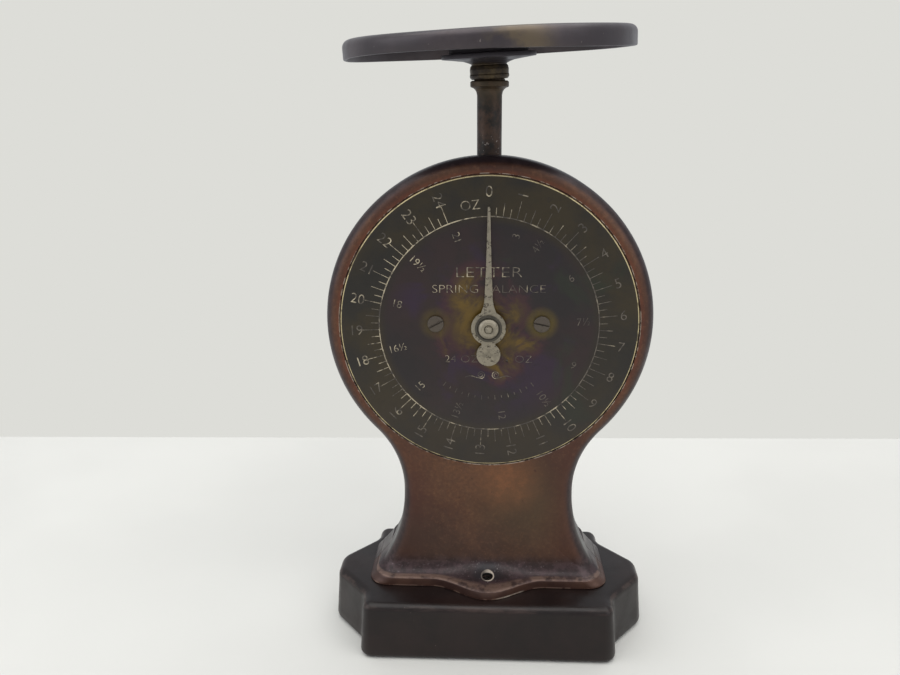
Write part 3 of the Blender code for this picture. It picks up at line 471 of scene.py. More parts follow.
def enamel_black():
    """Old brown-black enamel over cast iron: dull mottling, pale specks and chips beside the floor."""
    f = Finish("base_enamel", rgb(28, 19, 18), 0.36, coat=0.12, coat_roughness=0.15, specular=0.28)
    cloud = f.noise(38, 5, 0.62, seed=3.1)
    body = f.mix(f.ease(cloud, 0.35, 0.68), rgb(20, 12, 11), rgb(31, 20, 18))
    specks = f.ease(f.noise(900, 2, 0.5, seed=1.7), 0.75, 0.81)
    body = f.over(body, rgb(112, 98, 92), specks, 0.45)
    low = f.z_fall(0.3 * MM, 1.4 * MM)
    corner = f.near((30 * MM, -30 * MM, 0), 6 * MM, 22 * MM)
    chips = f.times(low, f.ease(f.noise(520, 3, 0.7, seed=9.0), 0.57, 0.64),
                    f.ease(corner, 0.0, 1.0, 0.25, 1.0))
    body = f.over(body, rgb(158, 146, 138), chips, 0.85)
    top = f.z_ease(BASE_TOP - 2.4 * MM, BASE_TOP - 1.5 * MM)
    top = f.times(top, f.z_fall(BASE_TOP - 0.9 * MM, BASE_TOP - 0.4 * MM))
    rubbed = f.times(top, f.ease(f.noise(260, 4, 0.7, stretch=(0.2, 1, 1), seed=5.2), 0.40, 0.60))
    f.color(f.over(body, rgb(84, 68, 62), rubbed, 0.35))
    f.gloss(0.30, 0.46, 120, 7.3)
    f.bump(f.noise(210, 3, 0.5, seed=2.2), 0.05 * MM)
    f.bump(f.noise(1400, 3, 0.6, seed=6.1), 0.018 * MM)
    return f.material


def lacquer_copper():
    """Copper-brown lacquer, with painted shade and reflection on the rounded rim: purple where it turns,
    grey on the sides.
    """
    f = Finish("casing_lacquer", rgb(92, 60, 40), 0.4, 0.45, coat=0.14, coat_roughness=0.25, specular=0.4)
    cloud = f.noise(34, 5, 0.6, seed=4.4)
    fine = f.noise(330, 5, 0.7, seed=8.8)
    grain = f.noise(760, 4, 0.65, seed=2.7)
    warm = f.mix(f.ease(cloud, 0.36, 0.64), rgb(66, 38, 28), rgb(92, 60, 39))
    warm = f.over(warm, rgb(82, 56, 40), f.ease(fine, 0.42, 0.66), 0.45)
    warm = f.over(warm, rgb(66, 42, 31), f.ease(grain, 0.44, 0.62), 0.40)
    warm = f.over(warm, rgb(118, 80, 54), f.fall(grain, 0.36, 0.46), 0.22)
    dusky = f.near((14 * MM, FACE, 54 * MM), 5 * MM, 26 * MM)
    warm = f.over(warm, rgb(66, 54, 36), dusky, 0.6)
    across = f.math("ABSOLUTE", f.axis(0))
    flank = f.times(f.ease(across, 17 * MM, 31 * MM), f.z_ease(60 * MM, 84 * MM, 1.0, 0.2))
    warm = f.over(warm, rgb(70, 35, 27), flank, 0.6)
    # Painted shade: the waist is darkened towards the foot, where it turns into the cove.
    low = f.z_ease(38 * MM, 58 * MM, 0.5, 0.0)
    warm = f.over(warm, rgb(50, 36, 27), low, f.ease(cloud, 0.3, 0.6, 1.0, 0.4))
    lit = f.near((7 * MM, FACE, 62 * MM), 2 * MM, 17 * MM)
    warm = f.over(warm, rgb(132, 84, 52), lit, f.ease(fine, 0.3, 0.6, 0.65, 0.35))
    spots = f.ease(f.noise(620, 2, 0.5, seed=12.0), 0.70, 0.78)
    warm = f.over(warm, rgb(52, 32, 24), spots, 0.5)
    collar = f.distance(HUB, (1, 0, 1))
    band = f.fall(collar, DIAL_RADIUS + 0.9 * MM, DIAL_RADIUS + 2.4 * MM)
    band = f.times(band, f.z_ease(DIAL_Z - 36 * MM, DIAL_Z - 20 * MM))
    warm = f.over(warm, rgb(104, 56, 36), band, f.ease(fine, 0.35, 0.6, 0.2, 0.6))
    # Painted shade and reflection chosen by the normal: purple-brown as the rounded rim turns away (painted
    # shade), dark grey where it faces sideways (a painted grazing reflection) and grey-violet where it faces
    # up (a painted reflection of the ceiling).
    away = f.facing(1)
    purple = f.mix(f.ease(fine, 0.4, 0.65), rgb(40, 26, 26), rgb(56, 39, 39))
    surface = f.mix(f.ease(away, -0.96, -0.72), warm, purple)
    surface = f.mix(f.ease(away, -0.48, -0.10), surface, rgb(33, 29, 30))
    surface = f.mix(f.ease(f.facing(2), 0.55, 0.9, 0.0, 0.8), surface, rgb(50, 42, 46))
    # Painted shade and reflection in the cove over the foot: a darker violet-grey there, with pale dust
    # specks.
    foot = f.z_fall(BASE_TOP + 6.5 * MM, BASE_TOP + 12 * MM)
    cove = f.mix(f.ease(fine, 0.4, 0.62), rgb(40, 28, 29), rgb(62, 46, 48))
    dusty = f.ease(f.noise(1300, 3, 0.6, seed=6.4), 0.62, 0.70)
    cove = f.mix(f.times(dusty, 0.35), cove, rgb(118, 108, 110))
    surface = f.over(surface, cove, foot, 0.9)
    lip = f.z_fall(BASE_TOP + 2.9 * MM, BASE_TOP + 3.6 * MM)
    edge = f.mix(f.ease(cloud, 0.4, 0.62), rgb(60, 39, 34), rgb(86, 60, 49))
    surface = f.mix(lip, surface, edge)
    hole = (0, FOOT_SCREW_Y, 0)
    around = f.distance(hole, (1, 1, 0))
    foot_top = f.z_fall(BASE_TOP + 7 * MM, BASE_TOP + 9 * MM)
    bruise = f.times(f.fall(around, 3 * MM, 8 * MM), f.z_ease(BASE_TOP + 4 * MM, BASE_TOP + 4.6 * MM),
                     foot_top)
    surface = f.over(surface, rgb(28, 29, 33), bruise, f.ease(fine, 0.38, 0.6, 0.4, 0.9))
    flecks = f.times(f.fall(around, 4 * MM, 11 * MM), f.ease(f.noise(1500, 2, 0.6, seed=3.3), 0.66, 0.72),
                     foot_top)
    surface = f.over(surface, rgb(150, 140, 140), flecks, 0.6)
    # Painted shade: the wall of the screw hole is painted nearly black.
    well = f.times(f.fall(around, 1.9 * MM, 2.0 * MM), foot_top)
    surface = f.mix(well, surface, rgb(20, 17, 17))
    # Worn bright metal and brown, with painted highlights round the screw hole and along the lip's top edge.
    bright, wear_and_ridge_highlight = casing_wear(f, collar, around)
    surface = f.mix(bright, surface, rgb(206, 192, 176))
    surface = f.mix(wear_and_ridge_highlight, surface, rgb(138, 112, 98))
    f.color(surface)
    f.gloss(0.34, 0.5, 90, 1.1)
    f.bump(f.noise(160, 4, 0.55, seed=5.5), 0.06 * MM)
    f.bump(f.noise(1100, 3, 0.65, seed=7.7), 0.016 * MM)
    return f.material


def casing_wear(f, collar, around):
    """Worn edges where the lacquer is gone, bright metal and the thinner brown round it, and painted
    highlights: a bright ring round the mouth of the screw hole and a pale line along the top edge of the
    lip.
    """
    broken = f.noise(300, 3, 0.7, seed=21.0)
    rebate = f.times(f.ease(collar, DIAL_RADIUS + 0.25 * MM, DIAL_RADIUS + 0.4 * MM),
                     f.fall(collar, DIAL_RADIUS + 0.5 * MM, DIAL_RADIUS + 0.75 * MM))
    rebate = f.times(rebate, f.ease(broken, 0.44, 0.58))
    rebate = f.times(rebate, f.fall(f.facing(1), -0.95, -0.6))
    # Painted highlight: a bright ring round the mouth of the screw hole, stronger on its right side.
    mouth = f.times(f.ease(around, 1.95 * MM, 2.05 * MM), f.fall(around, 2.25 * MM, 2.6 * MM))
    mouth = f.times(mouth, f.ease(f.axis(0), -1.6 * MM, 0.6 * MM, 0.2, 0.9),
                    f.z_ease(BASE_TOP + 3 * MM, BASE_TOP + 3.6 * MM),
                    f.z_fall(BASE_TOP + 7 * MM, BASE_TOP + 8 * MM))
    bottom = f.z_fall(BASE_TOP + 0.5 * MM, BASE_TOP + 0.9 * MM)
    chipped = f.times(f.ease(f.axis(0), 2.5 * MM, 4 * MM), f.fall(f.axis(0), 13 * MM, 16.5 * MM))
    chipped = f.times(bottom, chipped, f.fall(f.axis(1), -22 * MM, -20.5 * MM))
    thin = f.times(bottom, f.ease(f.noise(240, 3, 0.6, seed=14.0), 0.5, 0.6))
    # Painted highlight: a pale line along the top edge of the lip.
    ridge = f.times(f.z_ease(BASE_TOP + 3.1 * MM, BASE_TOP + 3.4 * MM),
                    f.z_fall(BASE_TOP + 3.7 * MM, BASE_TOP + 4.1 * MM))
    ridge = f.times(ridge, f.ease(f.noise(220, 3, 0.7, seed=15.0), 0.36, 0.56, 0.2, 1.0))
    bright = f.math("MAXIMUM", f.math("MAXIMUM", rebate, mouth), f.times(chipped, 0.95))
    wear_and_ridge_highlight = f.math("MAXIMUM", f.times(thin, 0.7), f.times(ridge, 0.55))
    return bright, wear_and_ridge_highlight


def lacquer_dark():
    """The rear casing's dark lacquer, rubbed along its edges."""
    f = Finish("rear_lacquer", rgb(56, 47, 46), 0.42, 0.3, coat=0.2, coat_roughness=0.3)
    cloud = f.noise(30, 5, 0.6, seed=2.4)
    body = f.mix(f.ease(cloud, 0.36, 0.66), rgb(46, 38, 38), rgb(68, 50, 44))
    worn = f.times(f.ease(f.noise(150, 5, 0.7, seed=6.6), 0.60, 0.70), f.ease(f.axis(1), 11 * MM, 13 * MM))
    body = f.over(body, rgb(98, 68, 50), worn, 0.5)
    specks = f.ease(f.noise(820, 2, 0.5, seed=4.7), 0.73, 0.79)
    f.color(f.over(body, rgb(126, 112, 104), specks, 0.5))
    f.gloss(0.34, 0.5, 100, 9.1)
    f.bump(f.noise(170, 4, 0.55, seed=1.5), 0.06 * MM)
    f.bump(f.noise(1200, 3, 0.6, seed=3.7), 0.016 * MM)
    return f.material


def tarnished_dial():
    """A lacquered brass dial gone nearly black, with temper colours round the hub and the screws."""
    f = Finish("dial_tarnish", rgb(50, 43, 40), 0.36, 0.3, coat=0.12, coat_roughness=0.22, specular=0.35)
    cloud = f.noise(30, 5, 0.62, seed=3.6, warp=0.4)
    fine = f.noise(260, 5, 0.7, seed=1.9)
    radius = f.distance(HUB, (1, 0, 1))
    inner = f.fall(radius, 34 * MM, 38.5 * MM)
    ring = f.mix(f.ease(cloud, 0.38, 0.62), rgb(38, 35, 31), rgb(52, 44, 29))
    field = f.mix(f.ease(cloud, 0.40, 0.62), rgb(47, 35, 35), rgb(38, 33, 34))
    body = f.mix(inner, ring, field)
    violet = f.times(f.ease(f.noise(46, 4, 0.6, seed=6.9, warp=0.6), 0.50, 0.62),
                     f.ease(radius, 8 * MM, 14 * MM),
                     f.fall(radius, 26 * MM, 38 * MM))
    body = f.over(body, rgb(48, 33, 54), violet, 0.7)
    green = f.times(f.ease(f.noise(40, 4, 0.6, seed=11.3, warp=0.6), 0.54, 0.64),
                    f.ease(f.axis(0), -8 * MM, 14 * MM))
    body = f.over(body, rgb(40, 46, 34), green, 0.55)
    dusty = f.z_ease(DIAL_Z - 46 * MM, DIAL_Z - 4 * MM, 0.4, 0.0)
    body = f.mix(dusty, body, rgb(54, 48, 45))
    ragged = f.noise(95, 4, 0.65, seed=5.8, warp=0.5)
    glow = temper_glow(f, ragged)
    fringe = f.times(f.ease(glow, 0.02, 0.22), f.fall(glow, 0.22, 0.55))
    body = f.over(body, rgb(62, 36, 42), fringe, 0.7)
    body = f.mix(f.ease(glow, 0.12, 0.95), body, rgb(98, 76, 28))
    for side, strength in ((-1, 0.55), (1, 0.95)):
        screw = Vector((side * DIAL_SCREW_X, DIAL_FRONT, DIAL_SCREW_Z))
        halo = f.times(f.near(screw, 3.2 * MM, 6.6 * MM), f.ease(fine, 0.3, 0.6, 0.6, 1.0), strength)
        body = f.mix(halo, body, rgb(84, 70, 30))
    body = f.over(body, rgb(34, 30, 29), f.ease(fine, 0.56, 0.72), 0.4)
    rim = f.ease(radius, DIAL_RADIUS - 0.45 * MM, DIAL_RADIUS - 0.2 * MM)
    rim = f.times(rim, f.ease(f.noise(210, 3, 0.65, seed=17.0), 0.36, 0.52, 0.25, 1.0))
    f.color(f.mix(rim, body, rgb(206, 190, 146)))
    f.gloss(0.32, 0.48, 150, 8.4)
    f.bump(f.noise(500, 4, 0.6, seed=2.9), 0.018 * MM)
    return f.material


def temper_glow(f, ragged):
    """1 where the dial's lacquer has gone golden: ragged patches round the hub and out to the screws."""
    patches = ((0, 1, 4, 20, 0.22), (-3, 9, 3, 17, 0.30), (10, -1, 3, 14, 0.34), (-11, -3, 2, 12, 0.38),
               (4, -12, 2, 12, 0.38))
    glow = None
    for across, up, inner, outer, level in patches:
        place = HUB + Vector((across * MM, 0, up * MM))
        patch = f.times(f.near(place, inner * MM, outer * MM), f.ease(ragged, level, level + 0.36))
        glow = patch if glow is None else f.math("MAXIMUM", glow, patch)
    return glow


def engraving_fill(name, strong):
    """Cream wax in the dial's engraving: fresh at the upper left, rubbed away to the right and below."""
    f = Finish(name, rgb(200, 188, 160), 0.55)
    broken = f.noise(420, 3, 0.65, seed=13.0)
    patch = f.noise(62, 3, 0.6, seed=19.0)
    side = f.math("ADD", f.times(f.axis(0), -5.0), f.times(f.axis(2), 3.0))
    keep = f.math("ADD", f.ease(side, 0.10, 0.62, -0.05, 0.07), strong)
    level = f.math("ADD", f.math("ADD", f.times(broken, 0.55), f.times(patch, 0.55)), keep)
    faded = f.mix(f.ease(broken, 0.4, 0.6), rgb(62, 56, 50), rgb(96, 88, 78))
    f.color(f.mix(f.ease(level, 0.56, 0.74), faded, rgb(186, 173, 146)))
    return f.material


def pan_bronze():
    """Dark bronzed brass with a violet cast, and an olive patch on the rim."""
    f = Finish("pan_bronze_worn", rgb(78, 70, 73), 0.38, 0.5, coat=0.15, coat_roughness=0.25)
    cloud = f.noise(36, 4, 0.6, seed=4.9)
    fine = f.noise(340, 5, 0.7, seed=6.3)
    body = f.mix(f.ease(cloud, 0.36, 0.66), rgb(56, 50, 54), rgb(74, 65, 68))
    body = f.over(body, rgb(50, 43, 42), f.ease(fine, 0.50, 0.70), 0.3)
    patch = (8 * MM, -46 * MM, 208 * MM)
    olive = f.times(f.near(patch, 3 * MM, 13 * MM), f.ease(f.noise(80, 4, 0.6, seed=7.9), 0.38, 0.58))
    body = f.over(body, rgb(104, 90, 68), olive, 0.7)
    specks = f.ease(f.noise(700, 2, 0.5, seed=2.8), 0.73, 0.79)
    f.color(f.over(body, rgb(140, 130, 126), specks, 0.5))
    f.gloss(0.32, 0.46, 110, 3.8)
    f.bump(f.noise(90, 3, 0.5, seed=9.9), 0.05 * MM)
    f.bump(f.noise(1000, 3, 0.6, seed=5.9), 0.012 * MM)
    return f.material


def post_bronze():
    """The post: brown and nearly black, pitted, with a few bright chips low down."""
    f = Finish("post_patina", rgb(52, 38, 32), 0.45, 0.5)
    cloud = f.noise(170, 5, 0.7, seed=2.1)
    body = f.mix(f.ease(cloud, 0.40, 0.62), rgb(35, 31, 29), rgb(68, 50, 40))
    upper = f.z_ease(POST_HIGH.z - 16 * MM, POST_HIGH.z - 7 * MM)
    body = f.over(body, rgb(74, 61, 42), upper, 0.6)
    pale = f.times(f.near((0.6 * MM, -4 * MM, 179 * MM), 1 * MM, 6 * MM),
                   f.ease(f.noise(700, 3, 0.7, seed=5.0), 0.60, 0.66))
    body = f.mix(pale, body, rgb(168, 158, 152))
    f.color(body)
    f.gloss(0.36, 0.58, 220, 8.2)
    f.bump(f.noise(460, 5, 0.7, seed=4.3), 0.06 * MM)
    return f.material


def ferrule_bronze():
    f = Finish("ferrule_patina", rgb(70, 58, 44), 0.42, 0.55)
    cloud = f.noise(210, 5, 0.7, seed=6.2)
    body = f.mix(f.ease(cloud, 0.38, 0.64), rgb(42, 34, 29), rgb(80, 67, 46))
    upper = f.z_ease(LEAN_Z + 4.4 * MM, LEAN_Z + 5.4 * MM)
    f.color(f.mix(upper, body, rgb(56, 52, 57)))
    f.gloss(0.34, 0.5, 260, 1.4)
    f.bump(f.noise(620, 4, 0.7, seed=3.4), 0.03 * MM)
    return f.material


def pitted_steel(name, color, pits, seed):
    """Grey steel, brushed by handling and pitted by rust."""
    f = Finish(name, color, 0.42, 0.55)
    cloud = f.noise(240, 5, 0.7, seed=seed)
    dark = tuple(0.45 * value for value in color[:3]) + (1,)
    body = f.mix(f.times(f.ease(cloud, 0.48, 0.66), 0.6), color, dark)
    rust = f.ease(f.noise(900, 4, 0.75, seed=seed + 2), 0.66 - 0.2 * pits, 0.74 - 0.2 * pits)
    f.color(f.over(body, rgb(44, 36, 30), rust, 0.85))
    f.gloss(0.30, 0.52, 300, seed + 4)
    f.bump(f.math("SUBTRACT", 1.0, rust), 0.04 * MM)
    f.bump(f.noise(1600, 3, 0.6, seed=seed + 5), 0.01 * MM)
    return f.material


def inner_metal(name, color, roughness, metallic, grain):
    """Bright or dark metal of the movement, with drawn or milled grain."""
    f = Finish(name, color, roughness, metallic)
    streak = f.noise(700, 4, 0.6, stretch=grain, seed=2.6)
    dark = tuple(0.6 * value for value in color[:3]) + (1,)
    f.color(f.mix(f.ease(streak, 0.3, 0.7), dark, color))
    f.gloss(roughness * 0.8, roughness * 1.25, 180, 4.1)
    f.bump(streak, 0.008 * MM)
    return f.material


def buffer_leather():
    f = Finish("buffer_hide", rgb(92, 62, 40), 0.8)
    grain = f.cells(1900, 1.2)
    f.color(f.mix(f.ease(f.noise(200, 4, 0.6), 0.35, 0.65), rgb(70, 46, 30), rgb(112, 78, 52)))
    f.gloss(0.7, 0.9, 300, 2.0, 3, 0.5)
    f.bump(grain, 0.06 * MM)
    return f.material


# ---------------------------------------------------------------- base

def base_loop():
    """The plinth's plan at the floor: a block with a wing on each side."""
    half, reach = BASE_BLOCK
    front = [(half, -reach), (half, -BASE_NOTCH), (BASE_WING, -BASE_SHOULDER)]
    right = front + [(x, -y) for x, y in reversed(front)]
    left = [(-x, y) for x, y in reversed(right)]
    radii = BASE_CORNERS + BASE_CORNERS[::-1]
    loop = fillet(right + left, radii + radii, 12)
    return subdivide(loop, 2.5 * MM)


def subdivide(loop, longest):
    """The same closed outline with its long sides split."""
    made = []
    for i, here in enumerate(loop):
        ahead = loop[(i + 1) % len(loop)]
        count = max(1, math.ceil(math.dist(here, ahead) / longest))
        made += [tuple(Vector(here).lerp(Vector(ahead), k / count)) for k in range(count)]
    return made


def lifted(loop, height, shift=0.0):
    return [(x, y + shift, height) for x, y in loop]


def make_base(material):
    loop = base_loop()
    low = BASE_FOOT_EDGE
    turns = [math.pi / 2 * k / 6 for k in range(7)]
    rise = [(low - low * math.cos(a), 0.05 * MM + low - low * math.sin(a)) for a in turns]
    climb = BASE_TOP - BASE_EDGE - low
    rise += [(low + climb * k / 6, 0.05 * MM + BASE_DRAFT * k / 6) for k in range(1, 6)]
    rise += quarter(BASE_TOP, BASE_DRAFT, BASE_EDGE, 10)
    inner = BASE_TOP - BASE_WALL
    under = inset_loop(loop, 5 * MM)
    rings = [lifted(under, inner, BASE_MID_Y), lifted(under, 0.3 * MM, BASE_MID_Y),
             lifted(inset_loop(loop, 4.8 * MM), 0, BASE_MID_Y)]
    for height, inset in rise:
        lean = 1 - BASE_LEAN * height / BASE_TOP
        rings.append(lifted([(x, y * lean) for x, y in inset_loop(loop, inset)], height, BASE_MID_Y))
    base = lofted("plinth_casting", rings)
    shape(base, "UNION", cylinder(4.2 * MM, 8 * MM, BASE_TOP - 1.5 * MM, 48, move(0, FOOT_SCREW_Y, 0)))
    rear_x, rear_y = REAR_SCREW
    for x, y, radius in ((0, FOOT_SCREW_Y, 1.1 * MM), (-rear_x, rear_y, 1.6 * MM),
                         (rear_x, rear_y, 1.6 * MM)):
        drill(base, radius, 5 * MM, 30 * MM, 32, move(x, y, 0))
    settle(base, material, "housing", "base_black", "base_plinth")


# ---------------------------------------------------------------- casing

def flare_half(height):
    return WAIST_HALF + FLARE_RADIUS - math.sqrt(FLARE_RADIUS**2 - (WAIST_Z - height)**2)


def casing_outline(inset, foot):
    """The casing from the front: a round head, a waist and a flare."""
    rise = HEAD_Z - NECK_Z
    spread = HEAD_RADIUS - WAIST_HALF
    neck = (WAIST_HALF**2 + rise**2 - HEAD_RADIUS**2) / (2 * spread)
    shoulder = math.degrees(math.atan2(-rise, WAIST_HALF + neck))
    flare = math.degrees(math.asin((WAIST_Z - FLARE_END) / (FLARE_RADIUS + inset)))
    right = arc(WAIST_HALF + FLARE_RADIUS, WAIST_Z, FLARE_RADIUS + inset, 180 + flare, 180, 20)
    right += arc(WAIST_HALF + neck, NECK_Z, neck + inset, 180, 180 + shoulder, 20)
    head = arc(0, HEAD_Z, HEAD_RADIUS - inset, shoulder, 180 - shoulder, 150)[1:-1]
    left = [(-x, z) for x, z in reversed(right)]
    end = right[0][0]
    return [(end, foot), *right, *head, *left, (-end, foot)]


def foot_ring(half, reach, lobe, corner):
    """Half of the foot in plan, from one side round the front to the other."""
    side = [(half, 0.0), (half, -(reach - corner) / 2)]
    bend = arc(half - corner, corner - reach, corner, 0, -90, 12)
    across = [LOBE_HALF * (1 - i / 30) for i in range(61)]
    edge = [(x, -reach - lobe * math.cos(math.pi * x / LOBE_HALF / 2) ** 2) for x in across]
    return side + bend + edge + [(-x, y) for x, y in reversed(side + bend)]


def foot_solid(body, seam, rim, lobe, back=False):
    """The foot of one shell: a lip that is upright in front and moulded at the sides, then a cove."""
    reach, corner = rim
    base = BASE_TOP + FOOT_GAP
    edge = 0.8 * MM
    levels = []
    for rise, half in FOOT_SIDE:
        rise = rise * MM
        inset = 0.25 * MM if rise == 0 else 0
        over = max(0, rise - (FOOT_LIP - edge))
        inset += edge - math.sqrt(edge**2 - over**2)
        levels.append((base + rise, half * MM, reach - inset, lobe))
    lip_half = FOOT_SIDE[-1][1] * MM
    steps = 14
    for step in range(1, steps + 1):
        sweep = math.pi / 2 * step / steps
        share = 1 - math.sin(sweep) - 0.02 * step / steps
        height = base + FOOT_LIP + FOOT_COVE * (1 - math.cos(sweep))
        narrow = flare_half(height)
        half = narrow + (lip_half - narrow) * share - 0.06 * MM * step / steps
        far = body + (reach - edge - body) * share
        levels.append((height, half, far, lobe * share))
    loops = []
    for height, half, far, bulge in levels:
        ring = foot_ring(half, far, bulge, corner)
        flip = -1 if back else 1
        loops.append([(x, seam if y == 0 else flip * y, height) for x, y in ring])
    return lofted("foot", loops)


def section(inset, foot, depth):
    """The casing's outline at one depth."""
    return [(x, depth, z) for x, z in casing_outline(inset, foot)]


def make_front_shell(material):
    foot = BASE_TOP + 1.5 * MM
    depth = SEAM_FRONT - FACE
    rings = [section(0.2 * MM, foot, SEAM_FRONT), section(0, foot, SEAM_FRONT - 0.2 * MM)]
    rings += [section(inset, foot, SEAM_FRONT - rise) for rise, inset in quarter(depth, 0, RIM_RADIUS, 12)]
    shell = lofted("front_shell", rings)
    shape(shell, "UNION", foot_solid(-FACE, SEAM_FRONT, FOOT_FRONT, LOBE_REACH))
    rings = [section(WALL, HOLLOW_FOOT, SEAM_FRONT + 1 * MM)]
    deep = SEAM_FRONT + 1 * MM - (FACE + WALL)
    rings += [section(WALL + inset, HOLLOW_FOOT, SEAM_FRONT + 1 * MM - rise)
              for rise, inset in quarter(deep, 0, RIM_RADIUS - WALL, 4)]
    shape(shell, "DIFFERENCE", lofted("hollow", rings))
    drill(shell, DIAL_OPENING, 5 * MM, 20 * MM, 180, DIAL_AXIS)
    edge, bed = DIAL_RADIUS + 0.3 * MM, -DIAL_FRONT - 1.05 * MM
    rebate = revolve([(0, 22 * MM), (60 * MM, 22 * MM), (DIAL_RADIUS + 0.6 * MM, -FACE + 0.05 * MM),
                      (edge, -FACE - 0.25 * MM), (edge, bed), (0, bed)], 240)
    shape(shell, "DIFFERENCE", object_of("rebate", rebate, DIAL_AXIS))
    drill(shell, POST_HOLE, 160 * MM, 190 * MM, 64)
    hole = move(0, FOOT_SCREW_Y, 0)
    sink = revolve(in_mm((0, 40), (4.2, 40), (2.3, 26.4), (1.9, 25.6), (1.9, 23.6), (1.2, 23.6),
                         (1.2, 15), (0, 15)), 48)
    shape(shell, "DIFFERENCE", object_of("sink", sink, hole))
    settle(shell, material, "housing", "copper_brown", "front_casing", angle=40)


def make_rear_shell(material):
    foot = BASE_TOP + 1.5 * MM
    rings = [section(0.3 * MM, foot, SEAM_REAR), section(0.1 * MM, foot, SEAM_REAR + 0.2 * MM)]
    depth = BACK - SEAM_REAR
    rings += [section(inset, foot, SEAM_REAR + rise)
              for rise, inset in quarter(depth, BACK_DRAFT, BACK_RADIUS, 9)]
    shell = lofted("rear_shell", rings)
    shape(shell, "UNION", foot_solid(BACK, SEAM_REAR, FOOT_BACK, 0, back=True))
    hollow = [section(WALL + BACK_DRAFT, HOLLOW_FOOT, depth) for depth in (-5 * MM, BACK - WALL)]
    shape(shell, "DIFFERENCE", lofted("hollow", hollow))
    for x, z, radius in BACK_HOLES:
        place = move(x * MM, 0, z * MM) @ FRONTWARD
        drill(shell, radius * MM, -20 * MM, -5 * MM, 32, place)
    drill(shell, POST_HOLE, 160 * MM, 190 * MM, 64)
    settle(shell, material, "housing", "rear_black", "rear_casing", angle=40)


def make_screw(name, node, head, height, material, turn=0.0, slot=0.13):
    """A slotted head with a rounded crown over a plain shank, standing where its solid does."""
    low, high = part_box(node)
    middle = (low + high) / 2
    spans = high - low
    axis = max(range(3), key=lambda i: spans[i])
    shank = spans[axis] - height
    work = turned([(0, height), (head, height), (head, 0), (0.42 * head, 0), (0.42 * head, -shank),
                   (0, -shank)],
                  0.28 * height, 48)
    piece = object_of(name, work)
    cutter = bmesh.new()
    bmesh.ops.create_cube(cutter, size=1, matrix=move(0, 0, height) @ Matrix.Diagonal(
        (2.6 * head, 2 * slot * head, 1.1 * height, 1)))
    shape(piece, "DIFFERENCE", object_of("slot", cutter))
    if axis == 2:
        up = abs(low.z - BASE_TOP) > 7 * MM
        seat = high.z - height if up else low.z + height
        place = move(middle.x, middle.y, seat)
        place = place if up else place @ Matrix.Rotation(math.pi, 4, "X")
    else:
        front = middle.y < 0
        seat = low.y + height if front else high.y - height
        place = move(middle.x, seat, middle.z) @ (FRONTWARD if front else REARWARD)
    piece.data.transform(place @ Matrix.Rotation(math.radians(turn), 4, "Z"))
    settle(piece, material, "housing", "steel", node)


def make_case_screws(material, shaded_sunk_material):
    for number, corner in enumerate(("upper_left", "upper_right", "lower_left", "lower_right")):
        make_screw(f"case_screw_{corner}", f"casing_screw_{corner}", 2.9 * MM, 1.6 * MM, material,
                   35 + 47 * number)
    for number, corner in enumerate(("top", "lower_left", "lower_right")):
        make_screw(f"back_screw_{corner}", f"frame_screw_{corner}", 2.4 * MM, 1.4 * MM, material,
                   15 + 58 * number)
    make_screw("back_screw_link", "bracket_screw", 2.4 * MM, 1.4 * MM, material, 80)
    for side in ("left", "right"):
        make_screw(f"under_screw_{side}", f"foot_screw_rear_{side}", 2.6 * MM, 1.5 * MM, material, 25)
    # Painted shade: the sunk screw takes the nearly black copy of the screw steel.
    make_screw("sunk_screw", "foot_screw_front", 1.7 * MM, 1 * MM, shaded_sunk_material, 60)


# ---------------------------------------------------------------- dial

def make_dial(material):
    back = DIAL_HIGH.y
    thick = back - DIAL_FRONT
    profile = [(2.7 * MM, thick), (DIAL_RADIUS, thick), (DIAL_RADIUS, 0), (2.7 * MM, 0)]
    radii = [0.15 * MM, 0.35 * MM, 0.15 * MM, 0.15 * MM]
    dial = object_of("dial_face", revolve(fillet(profile, radii, 4), 240, ring=True),
                     move(0, back, DIAL_Z) @ FRONTWARD)
    for side in (-1, 1):
        place = move(side * DIAL_SCREW_X, 0, DIAL_SCREW_Z) @ FRONTWARD
        drill(dial, 1.3 * MM, 5 * MM, 20 * MM, 32, place)
    settle(dial, material, "housing", "dial_brass", "dial_plate")


def glyphs(text, height, thin=0.06 * MM, width=None):
    """A centred line of lettering in the XY plane, cut thin, and stretched to a width if it has one."""
    curve = bpy.data.curves.new("glyphs", "FONT")
    curve.body = text
    curve.size = height / 0.72
    curve.align_x = "CENTER"
    curve.align_y = "CENTER"
    curve.offset = -thin
    curve.extrude = INK / 2
    curve.resolution_u = 4
    mesh = mesh_of(curve)
    middle = (max(v.co.y for v in mesh.vertices) + min(v.co.y for v in mesh.vertices)) / 2
    mesh.transform(move(0, -middle, 0))
    if width is not None:
        spread = max(v.co.x for v in mesh.vertices) - min(v.co.x for v in mesh.vertices)
        mesh.transform(Matrix.Diagonal((width / spread, 1, 1, 1)))
    return mesh


def on_dial(across=0.0, up=0.0, turn=0.0):
    """From a mark's own XY plane to a place on the dial, turned anticlockwise by degrees."""
    return (move(across, DIAL_FRONT - INK / 2, DIAL_Z + up) @ FRONTWARD
            @ Matrix.Rotation(math.radians(turn), 4, "Z"))


def at_bearing(bearing, radius, turn):
    """A place on the dial by its clockwise bearing from the top."""
    angle = math.radians(bearing)
    return on_dial(radius * math.sin(angle), radius * math.cos(angle), turn)


def reading_turn(bearing):
    """Figures read outwards on the right half of the dial and inwards on the left."""
    return 90 - bearing if bearing < 180 else 270 - bearing


def stamp(work, mesh, place):
    mesh.transform(place)
    work.from_mesh(mesh)
    bpy.data.meshes.remove(mesh)


def bar(work, length, width, place):
    """A straight stroke that starts at its place and runs along its own Y."""
    size = Matrix.Diagonal((width, length, INK, 1))
    bmesh.ops.create_cube(work, size=1, matrix=place @ move(0, length / 2, 0) @ size)


